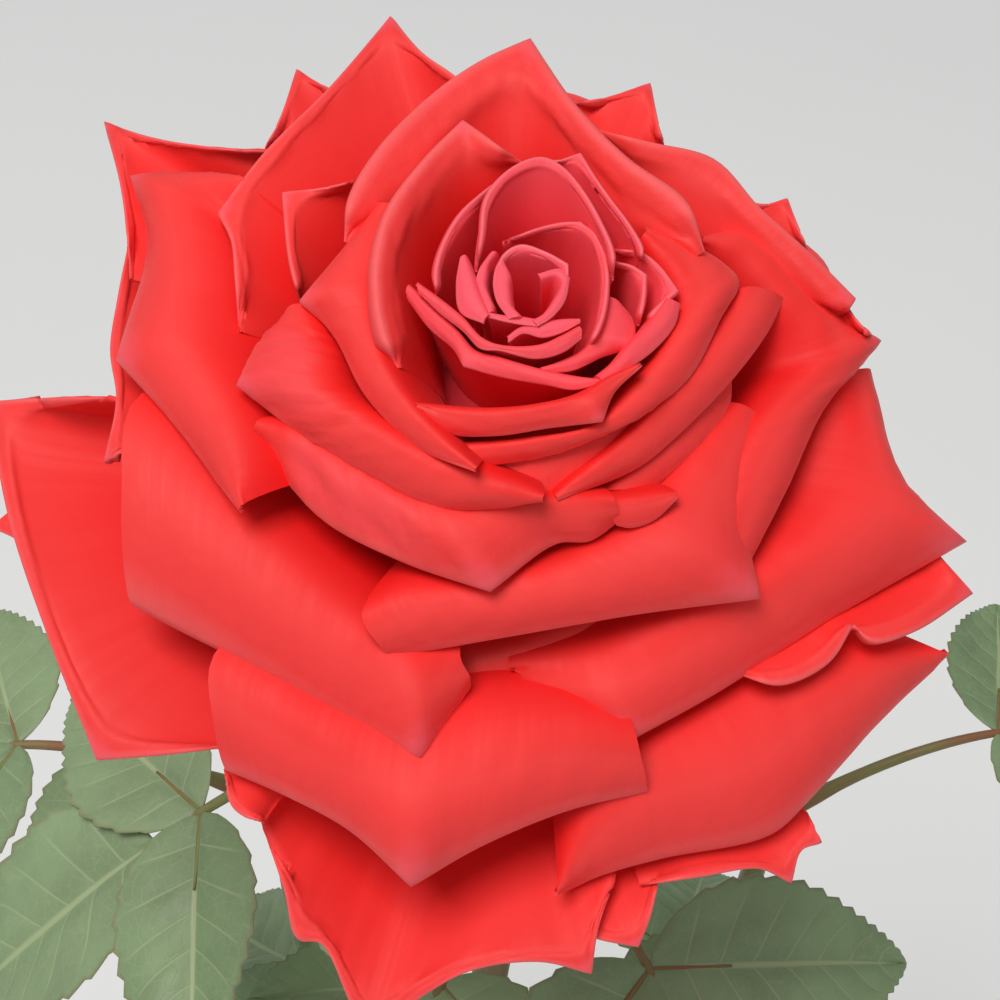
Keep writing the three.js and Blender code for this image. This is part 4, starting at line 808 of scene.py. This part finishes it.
def leaf_shape(cane, along, heading, rise, reach, leaflet_length, pairs, seed):
    """A leaf: a stalk that leaves its cane and arches over, z = reach * (tan(rise) t + 0.35 t - 0.55 t^2), an
    end leaflet, pairs of side leaflets, a short stalk under each, and two stipules at the foot.

    The first pair stands at 0.86 of the stalk, the next 0.4 of it nearer the cane and smaller.
    """
    start = along_path(CANES[cane]["points"], along)
    turn, climb = np.radians(heading), np.tan(np.radians(rise))
    level = np.array([np.cos(turn), np.sin(turn), 0])
    across = np.cross(level, UP)

    def stalk(t):
        return start + level * reach * t + UP * reach * (climb * t + 0.35 * t - 0.55 * t * t)

    def heads(t):
        return unit(stalk(t + 0.01) - stalk(t - 0.01))

    def up_at(t):
        return unit(np.cross(across, heads(t)))

    path = [stalk(t) for t in (0, 0.2, 0.4, 0.6, 0.8, 1)]
    radii = [1.9 * STALK_RADIUS, 1.15 * STALK_RADIUS, 0.95 * STALK_RADIUS, 0.7 * STALK_RADIUS]
    shapes = [tube(path, radii, 10, 24, across=UP, tags=(1, 0.5, 1))]
    shapes.append(leaflet(stalk(0.985), heads(1), up_at(1), leaflet_length, END_WIDTH * leaflet_length, seed))
    for pair in range(pairs):
        t = 0.86 - 0.4 * pair
        size = leaflet_length * (0.84 - 0.14 * pair)
        for hand in (-1, 1):
            direction = unit(0.42 * heads(t) + 0.9 * hand * across)
            shapes.append(leaflet(stalk(t), direction, up_at(t), size, SIDE_WIDTH * size,
                                  seed + 2 * pair + hand))
            midrib = [stalk(t) + f * size * direction - 0.2 * up_at(t) for f in (0, 0.08, 0.3)]
            shapes.append(tube(midrib, [0.7, 0.6, 0.2], 6, 6, across=UP, tags=(1, 0.5, 1)))
    for hand in (-1, 1):
        wing = [stalk(t) + hand * across for t in (0.05, 0.16, 0.3)]
        shapes.append(tube(wing, [0.9, 0.8, 0.1], 6, 8, across=UP, tags=(1, 0.5, 1)))
    return together(shapes)


def sepal(number):
    """A sepal that hangs back from the hip's rim, its section an arch and its margin slightly ragged.

    The points of along are [distance out, height, half width].
    """
    turn = 2 * np.pi * (number + 0.3) / 5
    out = np.array([np.cos(turn), np.sin(turn), 0])
    beside = np.array([-np.sin(turn), np.cos(turn), 0])
    along = [[4.5, -1.2, 3.8], [12, -3.5, 4.6], [21, -11, 3.2], [26, -24, 0.6]]
    line = spline(along, np.linspace(0, 3, 31))
    s = np.linspace(-1, 1, 11)
    ragged = 1 + 0.08 * np.sin(12 * line[:, :1] + number)
    across = s * line[:, 2:] * ragged
    height = -CORE_FLOOR - GAP + line[:, 1:2] - 0.35 * line[:, 2:] * s**2
    grid = line[:, :1, None] * out + across[..., None] * beside + height[..., None] * UP
    share = np.linspace(0, 1, 31)
    uv = np.stack(np.meshgrid(share, s / 2 + 0.5, indexing="ij"), -1)[..., ::-1]
    return thin_sheet(grid, 0.7 * (1 - 0.5 * np.abs(s)), uv, (0, number / 5, 0))


def calyx_shape():
    """The hip, a lathed urn under the petals, with five sepals."""
    top = -CORE_FLOOR - GAP
    outline = spline([[3.2, top - HIP_LENGTH], [4.3, top - 13.4], [6.1, top - 10], [7.3, top - 6],
                      [6.7, top - 2], [5.9, top - 0.2]], np.linspace(0, 5, 26))
    hip = revolved([[0, outline[0, 1]], *outline, [0, top - 0.1]], 40, tags=(1, 0.5, 1))
    return together([hip, *[sepal(number) for number in range(5)]])


def dress_plant(leaf, cane, calyx):
    """One piece for each leaf and cane, and one for the calyx."""
    for name, (parent, *numbers) in LEAVES.items():
        seed = sum(map(ord, name))
        piece("fine_" + name, leaf_shape(parent, *numbers, seed), leaf, "leaf_green", name)
    for name, made in CANES.items():
        piece("fine_" + name, cane_shape(**made), cane, "cane_green", name)
    made = calyx_shape()
    made["points"] = in_world(made["points"])
    piece("hip_and_sepals", made, calyx, "calyx_green", "calyx")


# The pot and its soil

# How far the rim stands out from the wall's line, and the radius where the soil's slow relief and lumps end
RIM_OVERHANG = 5
RELIEF_ENDS = 82.0


def wall_radius(height):
    """The pot's outer radius on its straight wall."""
    return POT_FOOT_RADIUS + (POT_RIM_RADIUS - RIM_OVERHANG - POT_FOOT_RADIUS) * height / POT_HEIGHT


def pot_shape():
    """The pot: a lathed wall with a rolled rim, moulded rings under it and a foot ring."""
    shoulder = POT_HEIGHT - 14
    rings = [[wall_radius(z) + 0.5 * lift, z] for low in (118, 126) for z, lift in
             ((low, 0), (low + 0.8, 1), (low + 2.2, 1), (low + 3, 0))]
    rim = spline([[POT_RIM_RADIUS - 1.6, shoulder + 0.6], [POT_RIM_RADIUS - 0.2, shoulder + 3],
                  [POT_RIM_RADIUS, shoulder + 8], [POT_RIM_RADIUS - 0.6, POT_HEIGHT - 2.4],
                  [POT_RIM_RADIUS - 3, POT_HEIGHT - 0.05], [POT_RIM_RADIUS - 5.5, POT_HEIGHT - 0.9],
                  [POT_RIM_RADIUS - 6.6, POT_HEIGHT - 4]], np.linspace(0, 6, 31))
    inner = [[wall_radius(z) - POT_WALL, z] for z in np.linspace(shoulder, POT_WALL + 4, 8)]
    profile = [[0, 2], [POT_FOOT_RADIUS - 6, 2], [POT_FOOT_RADIUS - 5, 0.1], [POT_FOOT_RADIUS - 4.4, 0],
               [POT_FOOT_RADIUS - 0.6, 0], [POT_FOOT_RADIUS, 0.6], [wall_radius(6), 6],
               *rings, [wall_radius(shoulder - 1), shoulder - 1], [wall_radius(shoulder), shoulder], *rim,
               *inner, [POT_FOOT_RADIUS - POT_WALL, POT_WALL + 1], [POT_FOOT_RADIUS - POT_WALL - 2, POT_WALL],
               [0, POT_WALL]]
    return revolved(profile, 128)


def drill_holes(pot):
    """Cuts the drain holes through the pot's floor, and applies the cut to the mesh."""
    for i in range(6):
        turn = np.pi * i / 3
        drill = tube([[DRAIN_CIRCLE * np.cos(turn), DRAIN_CIRCLE * np.sin(turn), z] for z in (-9, 0, 9)],
                     [DRAIN_RADIUS, DRAIN_RADIUS], 24, 2)
        cutter = put("drill", bpy.data.meshes.new("drill"))
        cutter.data.from_pydata((drill["points"] / METRE).tolist(), [],
                                drill["quads"].tolist() + drill["tris"].tolist())
        cut = pot.modifiers.new("drain", "BOOLEAN")
        cut.operation, cut.object, cut.solver = "DIFFERENCE", cutter, "EXACT"
        bpy.context.view_layer.update()
        drilled = bpy.data.meshes.new_from_object(pot.evaluated_get(bpy.context.evaluated_depsgraph_get()))
        pot.modifiers.clear()
        pot.data = drilled
        bpy.data.objects.remove(cutter)


def soil_relief(points):
    """Moves the soil's top: the solids' slow relief, and finer crumbs from ripples of three sizes."""
    x, y, z = points[..., 0], points[..., 1], points[..., 2]
    radius = np.hypot(x, y)
    slow = (1.8 * np.sin(0.21 * x + 1) * np.cos(0.17 * y) + 1.2 * np.sin(0.33 * y - 0.12 * x)
            + 2.5 * np.cos(radius / 52))
    crumbs = sum(height * ripple(x / width, y / width, 9, seed)
                 for height, width, seed in ((1.1, 9, 5), (0.8, 4, 6), (0.5, 2, 7)))
    top = smooth(SOIL_LEVEL - 1, SOIL_LEVEL, z)
    raised = z + top * (slow * (1 - smooth(RELIEF_ENDS - 12, RELIEF_ENDS, radius)) + crumbs)
    return np.stack([x, y, raised], -1)


def soil_surface(x, y):
    """The height of the soil's top at x, y."""
    return soil_relief(np.stack([x, y, np.full_like(x, SOIL_LEVEL)], -1))[..., 2]


def crumb_shapes(count, radii, seed, tag):
    """Loose lumps on the soil: each a small ball of 23 points whose radius varies, partly sunk in it."""
    draw = np.random.default_rng(seed)
    away = RELIEF_ENDS * np.sqrt(draw.random(count))
    turn = 2 * np.pi * draw.random(count)
    x, y = away * np.cos(turn), away * np.sin(turn)
    size = draw.uniform(*radii, count)
    shapes = []
    ball = revolved([[0, -1], [0.6, -0.75], [1, -0.1], [0.75, 0.6], [0, 0.95]], 7)
    for k in range(count):
        bumps = 1 + 0.22 * draw.normal(size=(len(ball["points"]), 1))
        stretch = draw.uniform(0.7, 1.25, 3)
        points = ball["points"] * bumps * stretch * size[k]
        place = np.array([x[k], y[k], soil_surface(x[k:k + 1], y[k:k + 1])[0] + 0.2 * size[k]])
        shapes.append({**ball, "points": points + place,
                       "tags": np.broadcast_to([tag, draw.random(), 1.0], points.shape)})
    return together(shapes)


def soil_shape():
    """The soil: a lathed body that fills the pot, with a crumbled top."""
    def inner(height):
        return wall_radius(height) - POT_WALL - 1.2

    top_rings = [[radius, SOIL_LEVEL] for radius in np.linspace(inner(SOIL_LEVEL) - 1.0, 1.4, 58)]
    profile = [[0, POT_WALL + GAP], [inner(POT_WALL) - 1, POT_WALL + GAP],
               [inner(SOIL_LEVEL - 3), SOIL_LEVEL - 3], [inner(SOIL_LEVEL) - 0.2, SOIL_LEVEL - 0.8],
               *top_rings, [0, SOIL_LEVEL]]
    body = revolved(profile, 200, push=soil_relief, tags=(0, 0.5, 1))
    return together([body, crumb_shapes(420, (0.8, 3.2), 21, 0), crumb_shapes(60, (0.7, 1.6), 22, 1)])


# Materials

def wire(tree, kind, inputs=None, **settings):
    """A node with its settings made and its inputs set or linked, by socket name or number."""
    node = tree.nodes.new(kind)
    for key, value in settings.items():
        setattr(node, key, value)
    for key, value in (inputs or {}).items():
        if isinstance(value, bpy.types.NodeSocket):
            tree.links.new(value, node.inputs[key])
        else:
            node.inputs[key].default_value = value
    return node


def number(tree, operation, *values):
    """A Math node's output."""
    return wire(tree, "ShaderNodeMath", dict(enumerate(values)), operation=operation).outputs[0]


def times(tree, first, second):
    """The product of two values."""
    return number(tree, "MULTIPLY", first, second)


def mixed(tree, factor, first, second, blend="MIX"):
    """A colour Mix node's output. Its colour inputs are sockets 6 and 7, and its colour output is 2."""
    return wire(tree, "ShaderNodeMix", {0: factor, 6: first, 7: second}, data_type="RGBA",
                blend_type=blend).outputs[2]


def step(tree, value, low, high, to_low=0.0, to_high=1.0):
    """A value carried smoothly from one range to another."""
    return wire(tree, "ShaderNodeMapRange", {0: value, 1: low, 2: high, 3: to_low, 4: to_high},
                interpolation_type="SMOOTHSTEP").outputs[0]


def ramp(tree, value, stops):
    """A colour ramp through (place, colour) stops."""
    node = wire(tree, "ShaderNodeValToRGB", {0: value})
    bar = node.color_ramp
    while len(bar.elements) < len(stops):
        bar.elements.new(1.0)
    for element, (place, colour) in zip(bar.elements, stops):
        element.position = place
        element.color = (*colour, 1)
    return node.outputs[0]


def noise(tree, vector, scale, detail=3.0, roughness=0.5):
    """A noise texture's value."""
    return wire(tree, "ShaderNodeTexNoise", {"Vector": vector, "Scale": scale, "Detail": detail,
                                             "Roughness": roughness}).outputs[0]


def bump(tree, height, strength, distance):
    """A Bump node's normal."""
    return wire(tree, "ShaderNodeBump",
                {"Height": height, "Strength": strength, "Distance": distance}).outputs[0]


def place_of(tree):
    """The place on the object, in metres."""
    return wire(tree, "ShaderNodeTexCoord").outputs["Object"]


def parts_of(tree, vector):
    """The three numbers of a vector."""
    return wire(tree, "ShaderNodeSeparateXYZ", {0: vector}).outputs


def tags_of(tree):
    """The three numbers of the tags attribute."""
    return parts_of(tree, wire(tree, "ShaderNodeAttribute", attribute_name="tags").outputs["Vector"])


def uv_of(tree):
    """The two numbers of the UV map."""
    return parts_of(tree, wire(tree, "ShaderNodeUVMap").outputs[0])


def new_group(name, inputs, output, kind):
    """An empty node group with named inputs and one output, its input sockets, and its output's socket."""
    group = bpy.data.node_groups.new(name, "ShaderNodeTree")
    for socket, socket_kind, default in inputs:
        made = group.interface.new_socket(name=socket, in_out="INPUT", socket_type=socket_kind)
        if default is not None:
            made.default_value = default
    group.interface.new_socket(name=output, in_out="OUTPUT", socket_type=kind)
    given = group.nodes.new("NodeGroupInput").outputs
    return group, given, group.nodes.new("NodeGroupOutput").inputs[output]


def mottle_group():
    """Uneven tone: noise of one scale makes a colour a little darker or lighter by Strength."""
    group, given, out = new_group(
        "Uneven tone",
        [("Colour", "NodeSocketColor", None), ("Scale", "NodeSocketFloat", 60.0),
         ("Strength", "NodeSocketFloat", 0.2)],
        "Colour", "NodeSocketColor")
    cloud = noise(group, place_of(group), given["Scale"], 4.0, 0.55)
    swing = times(group, number(group, "SUBTRACT", cloud, 0.5), given["Strength"])
    light = number(group, "ADD", times(group, swing, 2.0), 1.0)
    shade = wire(group, "ShaderNodeCombineColor", {0: light, 1: light, 2: light}).outputs[0]
    group.links.new(mixed(group, 1.0, given["Colour"], shade, "MULTIPLY"), out)
    return group


def streak_group():
    """Fine streaks along a sheet: noise stretched along the UV map's second axis, from 0 to 1."""
    group, given, out = new_group(
        "Streaks along",
        [("Across", "NodeSocketFloat", 60.0), ("Along", "NodeSocketFloat", 3.0),
         ("Offset", "NodeSocketFloat", 0.0)],
        "Mask", "NodeSocketFloat")
    u, v = uv_of(group)[:2]
    stretched = wire(group, "ShaderNodeCombineXYZ", {
        0: times(group, u, given["Across"]), 1: times(group, v, given["Along"]), 2: given["Offset"]})
    group.links.new(noise(group, stretched.outputs[0], 1.0, 3.0, 0.6), out)
    return group


MOTTLE = mottle_group()
STREAKS = streak_group()


def use_group(tree, group, **inputs):
    """The output of a group placed in a material, with its inputs set or linked."""
    return wire(tree, "ShaderNodeGroup", inputs, node_tree=group).outputs[0]


def mottled(tree, colour, scale, strength):
    """A colour made uneven by the uneven tone group."""
    return use_group(tree, MOTTLE, Colour=colour, Scale=scale, Strength=strength)


def new_material(name, **fixed):
    """A material and its Principled shader, with the sockets that are the same all over the surface."""
    material = bpy.data.materials.new(name)
    material.use_nodes = True
    tree = material.node_tree
    shader = tree.nodes["Principled BSDF"]
    for key, value in fixed.items():
        shader.inputs[key.replace("_", " ")].default_value = value
    return material, tree, shader.inputs


def surface(tree, shader, colour, roughness, normal):
    """Links a material's colour, roughness and normal to its shader."""
    tree.links.new(colour, shader["Base Color"])
    tree.links.new(roughness, shader["Roughness"])
    tree.links.new(normal, shader["Normal"])


def petal_velvet():
    """Petal: coral on the fold; painted shade makes it a darker, deeper crimson towards the foot, down in the
    bloom, and again on the turned-in end under the rim; a painted highlight makes it paler and pinker at its
    edge and tips; the heart is pinker, and brighter besides, as painted light on its shaded inner faces.

    Both ramps run from the petal's foot to its turned-in rim, the first for outer rings and the second for
    the heart. Creases are kept to the roll next to the rim, and fine streaks run over the whole petal.
    """
    material, tree, shader = new_material("Petal velvet", Specular_IOR_Level=0.28, Sheen_Weight=0.03,
                                          Sheen_Roughness=0.4, Sheen_Tint=(1.0, 0.75, 0.75, 1))
    ring, tone, tip = tags_of(tree)[:3]
    v = uv_of(tree)[1]
    # Painted shade: darker and deeper red from the fold down to the foot, and on the turned-in end (v = 1).
    # Painted highlight: pinker at the rim (v = 0.82).
    outer = ramp(tree, v, [(0, (0.55, 0.0, 0.002)), (0.2, (0.70, 0.0, 0.003)), (0.36, (0.80, 0.001, 0.003)),
                           (0.44, (0.86, 0.006, 0.006)), (0.50, (0.90, 0.020, 0.017)),
                           (0.60, (0.93, 0.049, 0.044)), (0.74, (0.93, 0.047, 0.044)),
                           (0.82, (0.95, 0.12, 0.12)), (1, (0.70, 0.006, 0.008))])
    # The heart's own pinker tone, brightened besides as painted light on the inner faces that stand in shade.
    heart = ramp(tree, v, [(0, (0.74, 0.0, 0.010)), (0.2, (0.90, 0.004, 0.022)),
                           (0.36, (0.96, 0.030, 0.055)), (0.47, (0.97, 0.075, 0.105)),
                           (0.57, (0.97, 0.095, 0.130)), (0.74, (0.97, 0.105, 0.145)),
                           (0.82, (0.98, 0.18, 0.22)), (1, (0.80, 0.020, 0.040))])
    colour = mixed(tree, step(tree, ring, 0.05, 0.22), heart, outer)
    # Painted highlight: pale pink mixed in at the tips; the same tag makes the crinkled margin paler.
    colour = mixed(tree, step(tree, tip, 0.6, 1.0, 0.0, 0.35), colour, (0.98, 0.12, 0.17, 1))
    streaks = use_group(tree, STREAKS, Across=46.0, Along=1.2, Offset=times(tree, tone, 9.0))
    colour = mixed(tree, times(tree, step(tree, streaks, 0.35, 0.75), 0.03), colour, (0.60, 0.004, 0.010, 1))
    creases = times(tree, noise(tree, place_of(tree), 600.0), step(tree, v, 0.58, 0.68))
    relief = number(tree, "ADD", times(tree, streaks, 0.15), creases)
    surface(tree, shader, mottled(tree, colour, 45.0, 0.12), step(tree, streaks, 0.3, 0.7, 0.54, 0.62),
            bump(tree, relief, 0.3, 0.0004))
    return material


def leaf_blade():
    """Leaf: grey green with paler veins and a paler underside; stalks are green flushed with red."""
    material, tree, shader = new_material("Leaf blade", Subsurface_Weight=0.08, Subsurface_Scale=0.001,
                                          Subsurface_Radius=(0.4, 1.0, 0.2), Specular_IOR_Level=0.35)
    stalk, tone, upper = tags_of(tree)[:3]
    u, v = uv_of(tree)[:2]
    aside = number(tree, "ABSOLUTE", number(tree, "SUBTRACT", u, 0.5))
    midrib = step(tree, aside, 0.03, 0.008)
    from_vein = number(tree, "FRACT", times(tree, v, float(SIDE_VEINS)))
    wave = number(tree, "ABSOLUTE", number(tree, "SUBTRACT", from_vein, 0.5))
    side_vein = times(tree, step(tree, wave, 0.44, 0.49), step(tree, aside, 0.5, 0.3))
    place = place_of(tree)
    net = wire(tree, "ShaderNodeTexVoronoi", {"Vector": place, "Scale": 520.0},
               feature="DISTANCE_TO_EDGE").outputs["Distance"]
    fine_vein = step(tree, net, 0.08, 0.0)
    blade = mixed(tree, tone, (0.205, 0.300, 0.150, 1), (0.270, 0.365, 0.195, 1))
    blade = mottled(tree, blade, 70.0, 0.35)
    veins = number(tree, "MAXIMUM", times(tree, midrib, 0.75),
                   number(tree, "MAXIMUM", times(tree, side_vein, 0.45), times(tree, fine_vein, 0.14)))
    blade = mixed(tree, veins, blade, (0.42, 0.50, 0.27, 1))
    blade = mixed(tree, step(tree, upper, 0.9, 0.1), blade, (0.32, 0.40, 0.25, 1))
    edge = times(tree, step(tree, aside, 0.47, 0.5), 0.35)
    blade = mixed(tree, edge, blade, (0.22, 0.10, 0.05, 1))
    flush = step(tree, noise(tree, place, 38.0), 0.35, 0.7)
    stem = mixed(tree, flush, (0.20, 0.24, 0.08, 1), (0.30, 0.105, 0.055, 1))
    relief = number(tree, "SUBTRACT", times(tree, noise(tree, place, 260.0), 0.6), times(tree, veins, 0.8))
    surface(tree, shader, mixed(tree, stalk, blade, stem),
            step(tree, noise(tree, place, 160.0), 0.3, 0.7, 0.42, 0.58), bump(tree, relief, 0.4, 0.0005))
    return material


def cane_bark():
    """Cane: green above, browner and corky towards the soil, with pale specks; prickles are reddish brown."""
    material, tree, shader = new_material("Cane bark", Specular_IOR_Level=0.35)
    spine = tags_of(tree)[0]
    place = place_of(tree)
    height = parts_of(tree, place)[2]
    old = step(tree, number(tree, "ADD", height, times(tree, noise(tree, place, 30.0), 0.09)), 0.31, 0.19)
    green = mixed(tree, step(tree, noise(tree, place, 24.0), 0.4, 0.75), (0.13, 0.20, 0.055, 1),
                  (0.25, 0.12, 0.06, 1))
    bark = mottled(tree, mixed(tree, old, green, (0.17, 0.115, 0.07, 1)), 220.0, 0.35)
    specks = wire(tree, "ShaderNodeTexVoronoi", {"Vector": place, "Scale": 260.0}).outputs["Distance"]
    bark = mixed(tree, times(tree, step(tree, specks, 0.16, 0.08), 0.5), bark, (0.42, 0.36, 0.24, 1))
    thorn = mottled(tree, (0.42, 0.22, 0.12, 1), 400.0, 0.5)
    grain = wire(tree, "ShaderNodeMapping", {"Vector": place, "Scale": (1.0, 1.0, 0.18)}).outputs[0]
    surface(tree, shader, mixed(tree, spine, bark, thorn), step(tree, old, 0.0, 1.0, 0.42, 0.8),
            bump(tree, noise(tree, grain, 700.0, 4.0), 0.4, 0.0006))
    return material


def calyx_skin():
    """Hip and sepals: smooth mid green, paler along the sepals' middle, reddish at the tips."""
    material, tree, shader = new_material("Calyx skin", Specular_IOR_Level=0.35, Subsurface_Weight=0.06,
                                          Subsurface_Scale=0.001)
    hip = tags_of(tree)[0]
    u, v = uv_of(tree)[:2]
    place = place_of(tree)
    aside = number(tree, "ABSOLUTE", number(tree, "SUBTRACT", u, 0.5))
    leaf = mixed(tree, step(tree, aside, 0.06, 0.0), (0.15, 0.23, 0.08, 1), (0.27, 0.35, 0.15, 1))
    leaf = mixed(tree, times(tree, step(tree, v, 0.6, 1.0), 0.6), leaf, (0.30, 0.11, 0.06, 1))
    skin = mottled(tree, mixed(tree, hip, leaf, (0.17, 0.26, 0.085, 1)), 120.0, 0.3)
    surface(tree, shader, skin, step(tree, noise(tree, place, 300.0), 0.3, 0.7, 0.4, 0.55),
            bump(tree, noise(tree, place, 650.0), 0.3, 0.0004))
    return material


def potting_soil():
    """Soil: dark brown peat with lighter fibres and crumbs; some lumps are pale grit."""
    material, tree, shader = new_material("Potting soil", Specular_IOR_Level=0.2)
    grit, tone = tags_of(tree)[:2]
    place = place_of(tree)
    crumb = noise(tree, place, 240.0, 6.0, 0.65)
    earth = ramp(tree, crumb, [(0.3, (0.012, 0.008, 0.005)), (0.5, (0.035, 0.022, 0.014)),
                               (0.68, (0.085, 0.056, 0.036)), (0.8, (0.16, 0.11, 0.07))])
    earth = mixed(tree, times(tree, tone, 0.25), earth, (0.11, 0.07, 0.045, 1))
    pale = mottled(tree, (0.60, 0.58, 0.52, 1), 500.0, 0.3)
    surface(tree, shader, mixed(tree, grit, earth, pale), step(tree, crumb, 0.3, 0.7, 0.78, 0.97),
            bump(tree, noise(tree, place, 800.0, 5.0, 0.7), 0.8, 0.0012))
    return material


def pot_plastic():
    """Pot: pale grey moulded plastic with dusty smudges, soiled at the foot and scuffed at the rim."""
    material, tree, shader = new_material("Pot plastic", Specular_IOR_Level=0.45)
    place = place_of(tree)
    height = parts_of(tree, place)[2]
    smudge = noise(tree, place, 26.0, 6.0, 0.65)
    dusty = times(tree, step(tree, smudge, 0.48, 0.72), 0.22)
    low = times(tree, step(tree, height, 0.03, 0.0), step(tree, smudge, 0.3, 0.6))
    at_rim = step(tree, height, 0.151, 0.1555)
    base = mottled(tree, (0.66, 0.66, 0.63, 1), 14.0, 0.10)
    base = mixed(tree, dusty, base, (0.50, 0.47, 0.41, 1))
    base = mixed(tree, times(tree, low, 0.5), base, (0.30, 0.24, 0.17, 1))
    scuff = wire(tree, "ShaderNodeMapping", {"Vector": place, "Scale": (1.0, 1.0, 9.0)}).outputs[0]
    scratches = step(tree, noise(tree, scuff, 60.0, 8.0, 0.7), 0.6, 0.75)
    base = mixed(tree, times(tree, scratches, times(tree, at_rim, 0.12)), base, (0.80, 0.80, 0.78, 1))
    surface(tree, shader, base, step(tree, smudge, 0.3, 0.7, 0.38, 0.6),
            bump(tree, noise(tree, place, 1500.0, 2.0), 0.15, 0.0002))
    return material


# Floor, light and camera

# Half the floor's width, in metres
FLOOR_REACH = 12.0


def pale_floor():
    """A wide plain floor, off white, with the faintest unevenness."""
    material, tree, shader = new_material("Pale floor", Roughness=0.85, Specular_IOR_Level=0.2,
                                          Emission_Color=(1.0, 1.0, 0.98, 1), Emission_Strength=0.22)
    tree.links.new(mottled(tree, (0.74, 0.74, 0.72, 1), 3.0, 0.03), shader["Base Color"])
    mesh = bpy.data.meshes.new("floor")
    corners = [(FLOOR_REACH * x, FLOOR_REACH * y, 0) for x, y in ((-1, -1), (1, -1), (1, 1), (-1, 1))]
    mesh.from_pydata(corners, [], [(0, 1, 2, 3)])
    mesh.materials.append(material)
    floor = put("floor", mesh)


def area_light(name, place, target, size, power, colour=(1, 1, 1)):
    """A square soft light at place, aimed at target, all in metres."""
    light = bpy.data.lights.new(name, "AREA")
    light.shape, light.size, light.energy, light.color = "SQUARE", size, power, colour
    lamp = put(name, light)
    lamp.location = place
    aim = np.asarray(target, float) - place
    lamp.rotation_mode = "QUATERNION"
    lamp.rotation_quaternion = Vector(aim).to_track_quat("-Z", "Y")


def lights():
    """A broad soft light over the bloom, weaker ones far in front and at its left, and an even room."""
    heart = (0, 0, HEART_HEIGHT / METRE)
    area_light("sky_light", (-0.35, -0.25, 1.9), heart, 0.75, 16.2, (1.0, 0.99, 0.98))
    area_light("front_light", (0.5, -1.7, 1.5), heart, 1.4, 2.4, (1.0, 0.98, 0.96))
    area_light("side_light", (-1.7, 0.2, 1.2), heart, 1.2, 0.5, (0.97, 0.98, 1.0))
    world = bpy.data.worlds.new("soft_room")
    world.use_nodes = True
    world.node_tree.nodes["Background"].inputs[0].default_value = (0.93, 0.95, 1.0, 1)
    world.node_tree.nodes["Background"].inputs[1].default_value = 0.33
    bpy.context.scene.world = world
    bpy.context.scene.view_settings.view_transform = "Standard"


def camera():
    """The photograph's eye: in front of the bloom's axis and looking down on it."""
    eye = in_world(EYE) / METRE
    lens = bpy.data.cameras.new("camera")
    lens.sensor_width = 36.0
    lens.lens = lens.sensor_width * EYE_DISTANCE / PICTURE_WIDTH
    lens.clip_start = 0.01
    item = put("camera", lens)
    item.location = eye
    item.rotation_euler = (EYE_FROM_AXIS + BLOOM_LEAN, 0, 0)
    bpy.context.scene.camera = item


dress_bloom(petal_velvet())
dress_plant(leaf_blade(), cane_bark(), calyx_skin())
pot = piece("fine_pot", pot_shape(), pot_plastic(), "pot_plastic", "pot")
drill_holes(pot)
piece("fine_soil", soil_shape(), potting_soil(), "potting_soil", "soil")
pale_floor()
lights()
camera()

bpy.context.view_layer.update()
